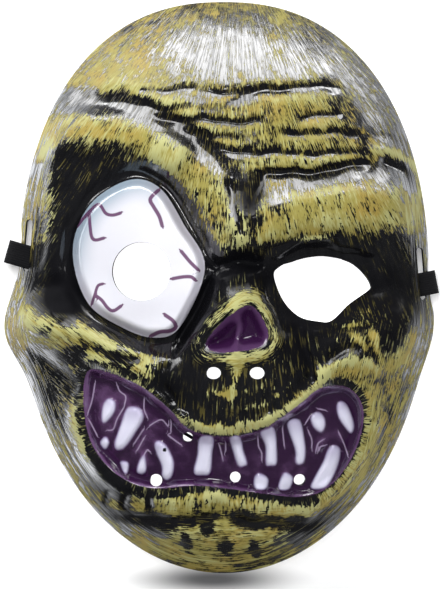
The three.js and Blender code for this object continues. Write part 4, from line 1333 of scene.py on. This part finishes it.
def painted_material(settings):
    """Glossy black sheet, brushed khaki, with a purple mouth and nose, pale teeth and a veined eyeball."""
    material, tree, shader = new_material("painted_sheet")
    marks = paint_marks(tree)
    colour, khaki_part = khaki_paint(tree, settings, marks)
    purple, mouth_part, pit_part, gum_part = purple_paint(tree, settings, marks)
    purple_part = calc(tree, "MAXIMUM", mouth_part, pit_part)
    colour = blend(tree, purple_part, colour, purple)
    tooth_part = step(tree, marks.tooth, *TOOTH_PAINT_EDGE)
    colour = blend(tree, tooth_part, colour, tooth_paint(tree, settings, marks))
    ball_part = step(tree, marks.ball, *BALL_PAINT_EDGE)
    colour = blend(tree, ball_part, colour, eyeball_paint(tree, settings, marks))

    bare = opposite(tree, calc(tree, "MAXIMUM", purple_part, ball_part))
    film = times(tree, khaki_part, bare)
    sheen = spread(tree, film, settings.sheet_roughness, settings.paint_roughness)
    haze = step(tree, scaled(tree, marks.fine, HAZE_FINE, marks.broad), *HAZE_LEVELS)
    unhazed = scaled(tree, times(tree, haze, bare), HAZE_LOSS, 1.0)
    lacquer = times(tree, opposite(tree, marks.dull), unhazed)
    normal = paint_bump(tree, marks, film, times(tree, gum_part, mouth_part))
    feed(tree, shader, {
        "Base Color": colour,
        "Roughness": scaled(tree, marks.dull, DULL_ROUGHNESS, sheen),
        "Specular IOR Level": PAINT_SPECULAR,
        "IOR": SHEET_IOR,
        "Coat Weight": times(tree, lacquer, spread(tree, film, 1.0, PAINTED_GLOSS)),
        "Coat Roughness": COAT_ROUGHNESS,
        "Coat IOR": COAT_IOR,
        "Normal": normal,
        "Coat Normal": normal,
    })
    return material


def bare_material(settings):
    """The unpainted back of the sheet, with faint forming ripples and rubbed marks."""
    material, tree, shader = new_material("bare_sheet")
    place = object_mm(tree)
    rubbed = step(tree, noise(tree, place, *BACK_NOISE), *BACK_LEVELS)
    feed(tree, shader, {
        "Base Color": blend(tree, rubbed, settings.black, settings.back_grey),
        "Roughness": spread(tree, noise(tree, place, *BACK_GLOSS_NOISE), *BACK_ROUGHNESS),
        "Normal": bumped(tree, noise(tree, place, *BACK_RIPPLE_NOISE), *BACK_BUMP),
    })
    return material


def elastic_material(settings):
    """Matt black woven elastic: cords along the band, crossed by fine threads, with painted shade between the
    threads.
    """
    material, tree, shader = new_material("woven_elastic")
    along, across, _ = read(tree, "weave")
    cord = calc(tree, "SINE", times(tree, across, 2 * math.pi / CORD_PITCH))
    thread = calc(tree, "SINE", times(tree, along, 2 * math.pi / THREAD_PITCH))
    lattice = times(tree, cord, thread)
    raised = scaled(tree, cord, CORD_LIFT, times(tree, lattice, LATTICE_LIFT))
    fuzz = noise(tree, object_mm(tree), *FUZZ_NOISE)
    # Painted shade between the threads, mixed with random fuzz
    tone = scaled(tree, fuzz, FUZZ_TONE, times(tree, raised, RAISED_TONE))
    feed(tree, shader, {
        "Base Color": blend(tree, step(tree, tone, *TONE_LEVELS), settings.elastic_dark, settings.elastic),
        "Roughness": spread(tree, fuzz, *ELASTIC_ROUGHNESS),
        "Specular IOR Level": ELASTIC_SPECULAR,
        "Normal": bumped(tree, raised, *ELASTIC_BUMP),
    })
    return material


def floor_material(settings):
    """A pale table, softly lit and glowing most under the mask, with a painted grey shadow past the chin."""
    material, tree, shader = new_material("pale_floor")
    place = object_mm(tree)
    colour = blend(tree, noise(tree, place, *FLOOR_NOISE), *FLOOR_TINTS)
    # Painted shadow on the floor past the chin: a grey ellipse, where the glow fades too
    off = vector_calc(tree, "DIVIDE", vector_calc(tree, "SUBTRACT", place, PAINTED_SHADOW_CENTRE), PAINTED_SHADOW_RADII)
    shade = step(tree, vector_calc(tree, "LENGTH", off), *PAINTED_SHADOW_LEVELS)
    # Painted light: the floor glows, most under the mask, fading towards the chin
    reach = vector_calc(tree, "MULTIPLY", place, (1 / HALF_WIDTH, 1 / HALF_HEIGHT, 0))
    away = vector_calc(tree, "LENGTH", reach)
    along = add_node(tree, "ShaderNodeSeparateXYZ", {0: place}).outputs[1]
    crown_end = times(tree, step(tree, along, *FLOOR_GLOW_FROM), opposite(tree, shade))
    beside = times(tree, step(tree, away, *FLOOR_GLOW_REACH), crown_end)
    near = times(tree, beside, settings.floor_glow)
    feed(tree, shader, {
        "Base Color": blend(tree, shade, colour, PAINTED_SHADOW_TINT),
        "Roughness": FLOOR_ROUGHNESS,
        "Emission Color": FLOOR_GLOW_TINT,
        "Emission Strength": scaled(tree, step(tree, away, *MIDDLE_GLOW_REACH), settings.middle_glow, near),
    })
    return material


def room_light(settings):
    """A dim room that is bright low down at both sides, which edges the steep walls with light."""
    world = bpy.data.worlds.new("soft_room")
    world.use_nodes = True
    tree = world.node_tree
    way = add_node(tree, "ShaderNodeTexCoord").outputs["Generated"]
    x, _, z = add_node(tree, "ShaderNodeSeparateXYZ", {0: way}).outputs
    right = times(tree, step(tree, x, *SIDE_RIGHT), SIDE_RIGHT_SHARE)
    beside = calc(tree, "ADD", step(tree, x, *SIDE_LEFT), right)
    edge = times(tree, step(tree, z, *SIDE_LOW), beside)
    strength = spread(tree, edge, settings.room_light, settings.side_light)
    feed(tree, tree.nodes["Background"], {"Color": ROOM_TINT, "Strength": strength})
    return world


def end_stations(row):
    """Stations of one end of the strap, from inside the slot out, round the rim and back to its sewn tail."""
    radius, middle = (LOOP_TOP - LOOP_BOTTOM) / 2, (LOOP_TOP + LOOP_BOTTOM) / 2
    places = list(LOOP_WAY_OUT)
    for turn in np.linspace(math.pi / 2, -math.pi / 2, LOOP_STEPS):
        places.append((row.loop_out + radius * math.cos(turn), middle + radius * math.sin(turn)))
    places += LOOP_WAY_BACK
    aim = math.radians(row.aim)
    out_x, out_y = math.cos(aim), math.sin(aim)
    across = (-row.side * out_y, row.side * out_x, 0.0)
    return [((row.rim_x + out * out_x, row.rim_y + out * out_y, high), across) for out, high in places]


def route_stations():
    """Stations of the strap between its sewn ends, where it turns onto its edge and back."""
    route = open_curve([(row.x, row.y, row.z) for row in STRAP_ROUTE], per=ROUTE_STEPS)
    knots = [row.turn for row in STRAP_ROUTE]
    turns = np.interp(np.arange(len(route)) / ROUTE_STEPS, np.arange(len(knots)), knots)
    stations = []
    for at, way, turn in zip(route, np.gradient(route, axis=0), turns):
        flat = Vector((-way[1], way[0], 0)).normalized()
        angle = math.radians(turn)
        along = Vector(way).normalized()
        side = flat * math.cos(angle) + along.cross(flat) * math.sin(angle)
        stations.append((tuple(at), tuple(side)))
    return stations


def strap_line():
    """Middle of the strap and the way across it, from one sewn tail to the other, in millimetres."""
    left, right = STRAP_ENDS
    stations = end_stations(left)[::-1] + route_stations() + end_stations(right)
    line = open_curve([at for at, _ in stations], per=STATION_STEPS)
    sides = open_curve([across for _, across in stations], per=STATION_STEPS)
    travel = np.concatenate([[0], np.cumsum(np.linalg.norm(np.diff(line, axis=0), axis=1))])
    even = np.linspace(0, travel[-1], int(travel[-1] / STRAP_STEP) + 1)
    line = np.stack([np.interp(even, travel, line[:, k]) for k in range(3)], axis=1)
    sides = np.stack([np.interp(even, travel, sides[:, k]) for k in range(3)], axis=1)
    return line, sides / np.linalg.norm(sides, axis=1, keepdims=True), even


def strap_mesh(name, width):
    """A flat band: a grid bent along the strap's line."""
    line, sides, travel = strap_line()
    bm = bmesh.new()
    count = len(line)
    bmesh.ops.create_grid(bm, x_segments=count - 1, y_segments=STRAP_ACROSS, size=1.0)
    along, across = [], []
    for vert in bm.verts:
        index = round((vert.co.x + 1) / 2 * (count - 1))
        shift = vert.co.y * width / 2
        along.append(travel[index])
        across.append(shift)
        vert.co = [c * MM for c in line[index] + sides[index] * shift]
    mesh = built_mesh(bm, name)
    shade_smooth(mesh)
    add_attribute(mesh, "weave", np.array(along), np.array(across), np.zeros(len(along)))
    return mesh, line, travel


def add_camera(scene, settings):
    """The camera, looking straight down on the mask."""
    eye = bpy.data.objects.new("camera", bpy.data.cameras.new("camera"))
    scene.collection.objects.link(eye)
    eye.location = (*settings.camera_shift, settings.camera_height)
    eye.data.lens = settings.lens
    eye.data.sensor_width = SENSOR_WIDTH
    eye.data.clip_end = VIEW_END
    scene.camera = eye


def add_floor(settings):
    """The table, which the gloss does not mirror and which casts no shadow."""
    bm = bmesh.new()
    bmesh.ops.create_grid(bm, x_segments=FLOOR_SQUARES, y_segments=FLOOR_SQUARES, size=settings.floor_size)
    mesh = built_mesh(bm, "floor")
    floor = new_object("floor", mesh)
    mesh.materials.append(floor_material(settings))
    floor.visible_glossy = False
    floor.visible_shadow = False
    return floor


def add_light(scene, row, power):
    """A soft light that faces the mask."""
    light = bpy.data.lights.new(row.name, "AREA")
    light.shape = "RECTANGLE"
    light.size, light.size_y = row.wide, row.high
    light.energy = power * row.share
    lamp = bpy.data.objects.new(row.name, light)
    scene.collection.objects.link(lamp)
    lamp.location = (row.x, row.y, row.z)
    lamp.visible_diffuse = row.fill
    lamp.visible_glossy = row.gloss
    aim = Vector((-row.x, -row.y, AIM_HEIGHT - row.z))
    lamp.rotation_euler = aim.to_track_quat("-Z", "Y").to_euler()


def number_setting(name, description, default, **kind):
    """A number that the panel shows."""
    return bpy.props.FloatProperty(name=name, description=description, default=default, **kind)


def colour_setting(name, description, default):
    """A colour that the panel shows."""
    return bpy.props.FloatVectorProperty(
        name=name, description=description, subtype="COLOR", size=4, min=0, max=1, default=default)


class MaskShellSettings(bpy.types.PropertyGroup):
    """Sheet and paint of the shell."""
    wall: number_setting("Wall", "Thickness of the formed sheet", 0.0008, unit="LENGTH")
    sheet_roughness: number_setting("Sheet roughness", "Gloss of the bare black sheet", 0.2, subtype="FACTOR")
    paint_roughness: number_setting("Paint roughness", "Gloss of the khaki paint", 0.58, subtype="FACTOR")
    black: colour_setting("Black", "Bare sheet", (0.004, 0.004, 0.005, 1))
    back_grey: colour_setting("Back grey", "Rubbed marks on the back", (0.02, 0.02, 0.022, 1))
    khaki: colour_setting("Khaki", "Brushed paint", (0.287, 0.252, 0.068, 1))
    khaki_dark: colour_setting("Dark khaki", "Thin paint", (0.105, 0.088, 0.024, 1))
    khaki_warm: colour_setting("Warm khaki", "Warmer clouds in the paint", (0.33, 0.245, 0.058, 1))
    khaki_light: colour_setting("Light khaki", "Lighter strokes", (0.4, 0.395, 0.17, 1))
    purple: colour_setting("Purple", "Inside of the mouth and nose", (0.125, 0.058, 0.15, 1))
    # Painted shade: darker purple in deep parts of the mouth, on the side away from the light and in the nose
    # pit
    purple_shade: colour_setting("Dark purple", "Deep parts of the mouth", (0.026, 0.006, 0.034, 1))
    # Painted highlight along the creases of the gum
    gum_highlight: colour_setting("Light purple", "Creases of the gum", (0.52, 0.42, 0.6, 1))
    tooth: colour_setting("Tooth", "Middle of each tooth", (0.8, 0.79, 0.95, 1))
    # Painted shade at the edge and top of each tooth
    tooth_edge: colour_setting("Tooth edge", "Edge and root of each tooth", (0.36, 0.31, 0.5, 1))
    eyeball: colour_setting("Eyeball", "White of the eyeball", (0.69, 0.69, 0.75, 1))
    # Painted shade of the eyeball: blue-grey along its upper left edge, and greyer all along its edge
    ball_upper_left_shade: colour_setting("Eyeball edge", "Shade along the upper edge", (0.3, 0.38, 0.46, 1))
    ball_rim_shade: colour_setting("Eyeball shade", "Shade all along the edge", (0.6, 0.585, 0.67, 1))
    vein: colour_setting("Vein", "Painted veins", (0.1, 0.022, 0.09, 1))


class MaskStrapSettings(bpy.types.PropertyGroup):
    """Width, thickness and colours of the elastic strap."""
    width: number_setting("Width", "Width of the band", 0.01, unit="LENGTH")
    thick: number_setting("Thickness", "Thickness of the band", 0.0012, unit="LENGTH")
    elastic: colour_setting("Elastic", "Threads of the band", (0.009, 0.009, 0.01, 1))
    # Painted shade between the threads, mixed with random fuzz
    elastic_dark: colour_setting("Dark elastic", "Between the threads", (0.004, 0.004, 0.005, 1))


class MaskStageSettings(bpy.types.PropertyGroup):
    """Camera, floor and lights."""
    camera_height: number_setting("Camera height", "Height of the camera over the floor", 2.5, unit="LENGTH")
    camera_shift: bpy.props.FloatVectorProperty(
        name="Camera place", description="Where the camera stands over the mask", size=2,
        default=(0.0004, -0.003), subtype="TRANSLATION")
    lens: number_setting("Lens", "Focal length in millimetres", 355.3)
    floor_size: number_setting("Floor", "Half the side of the floor", 2.5, unit="LENGTH")
    # The table's glow is painted light, not a lamp
    floor_glow: number_setting("Floor glow", "How much the table lights up near the mask", 0.25)
    middle_glow: number_setting("Middle glow", "How much more the table lights up under the mask", 0.9)
    light_power: number_setting("Light power", "Power of the main light", 24.5, unit="POWER")
    room_light: number_setting("Room light", "Strength of the light from all round", 0.06)
    side_light: number_setting("Side light", "Strength of the light low down at both sides", 3.2)


class MASK_OT_stage(bpy.types.Operator):
    """Sets up the camera, the pale floor and the soft lights"""
    bl_idname = "mask.stage"
    bl_label = "Stage"

    def execute(self, context):
        scene = context.scene
        settings = scene.mask_stage
        add_camera(scene, settings)
        floor = add_floor(settings)
        for row in LIGHTS:
            add_light(scene, row, settings.light_power)
        scene.world = room_light(settings)
        scene.view_settings.view_transform = "Standard"
        return {"FINISHED"}


class MASK_OT_strap(bpy.types.Operator):
    """Makes the flat elastic strap, looped through both slots of the rim"""
    bl_idname = "mask.strap"
    bl_label = "Elastic strap"

    def execute(self, context):
        settings = context.scene.mask_strap
        mesh, line, travel = strap_mesh("elastic_band", settings.width / MM)
        mesh.materials.append(elastic_material(settings))
        band = new_object("elastic_band", mesh)
        wall = band.modifiers.new("thickness", "SOLIDIFY")
        wall.thickness = settings.thick
        wall.offset = 0.0
        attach(band, "root")
        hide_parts("elastic_strap")
        free = (travel > STRAP_TAIL) & (travel < travel[-1] - STRAP_TAIL)
        path = line[free] * MM
        tuple(path[0])
        return {"FINISHED"}


class MASK_OT_shell(bpy.types.Operator):
    """Makes the formed shell with its paint"""
    bl_idname = "mask.shell"
    bl_label = "Painted shell"

    def execute(self, context):
        settings = context.scene.mask_shell
        mesh = shell_mesh("painted_shell")
        place = points_of(mesh) / MM
        write_paint(mesh, place[:, 0], place[:, 1])
        mesh.materials.append(painted_material(settings))
        mesh.materials.append(bare_material(settings))
        shell = new_object("painted_shell", mesh)
        wall = shell.modifiers.new("sheet", "SOLIDIFY")
        wall.thickness = settings.wall
        wall.offset = -1.0
        wall.material_offset = 1
        wall.material_offset_rim = 1
        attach(shell, "root")
        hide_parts("mask_shell")
        return {"FINISHED"}


class MASK_PT_panel(bpy.types.Panel):
    """Sizes and colours of the mask, and what builds it"""
    bl_idname = "MASK_PT_panel"
    bl_label = "Halloween Mask"
    bl_space_type = "VIEW_3D"
    bl_region_type = "UI"
    bl_category = "Mask"

    def draw(self, context):
        for part in ("stage", "strap", "shell"):
            box = self.layout.box()
            settings = getattr(context.scene, "mask_" + part)
            for key in settings.__annotations__:
                box.prop(settings, key)
            box.operator("mask." + part)


SETTINGS = {"mask_shell": MaskShellSettings, "mask_strap": MaskStrapSettings, "mask_stage": MaskStageSettings}
CLASSES = (*SETTINGS.values(), MASK_OT_stage, MASK_OT_strap, MASK_OT_shell, MASK_PT_panel)


def register():
    """Adds the settings, the operators and the panel."""
    for kind in CLASSES:
        bpy.utils.register_class(kind)
    for name, kind in SETTINGS.items():
        setattr(bpy.types.Scene, name, bpy.props.PointerProperty(type=kind))


def unregister():
    """Takes the settings, the operators and the panel away again."""
    for name in reversed(SETTINGS):
        delattr(bpy.types.Scene, name)
    for kind in reversed(CLASSES):
        bpy.utils.unregister_class(kind)


def main():
    """Builds the stage, the strap and the shell."""
    register()
    bpy.ops.mask.stage()
    bpy.ops.mask.strap()
    bpy.ops.mask.shell()


if __name__ == "__main__":
    main()
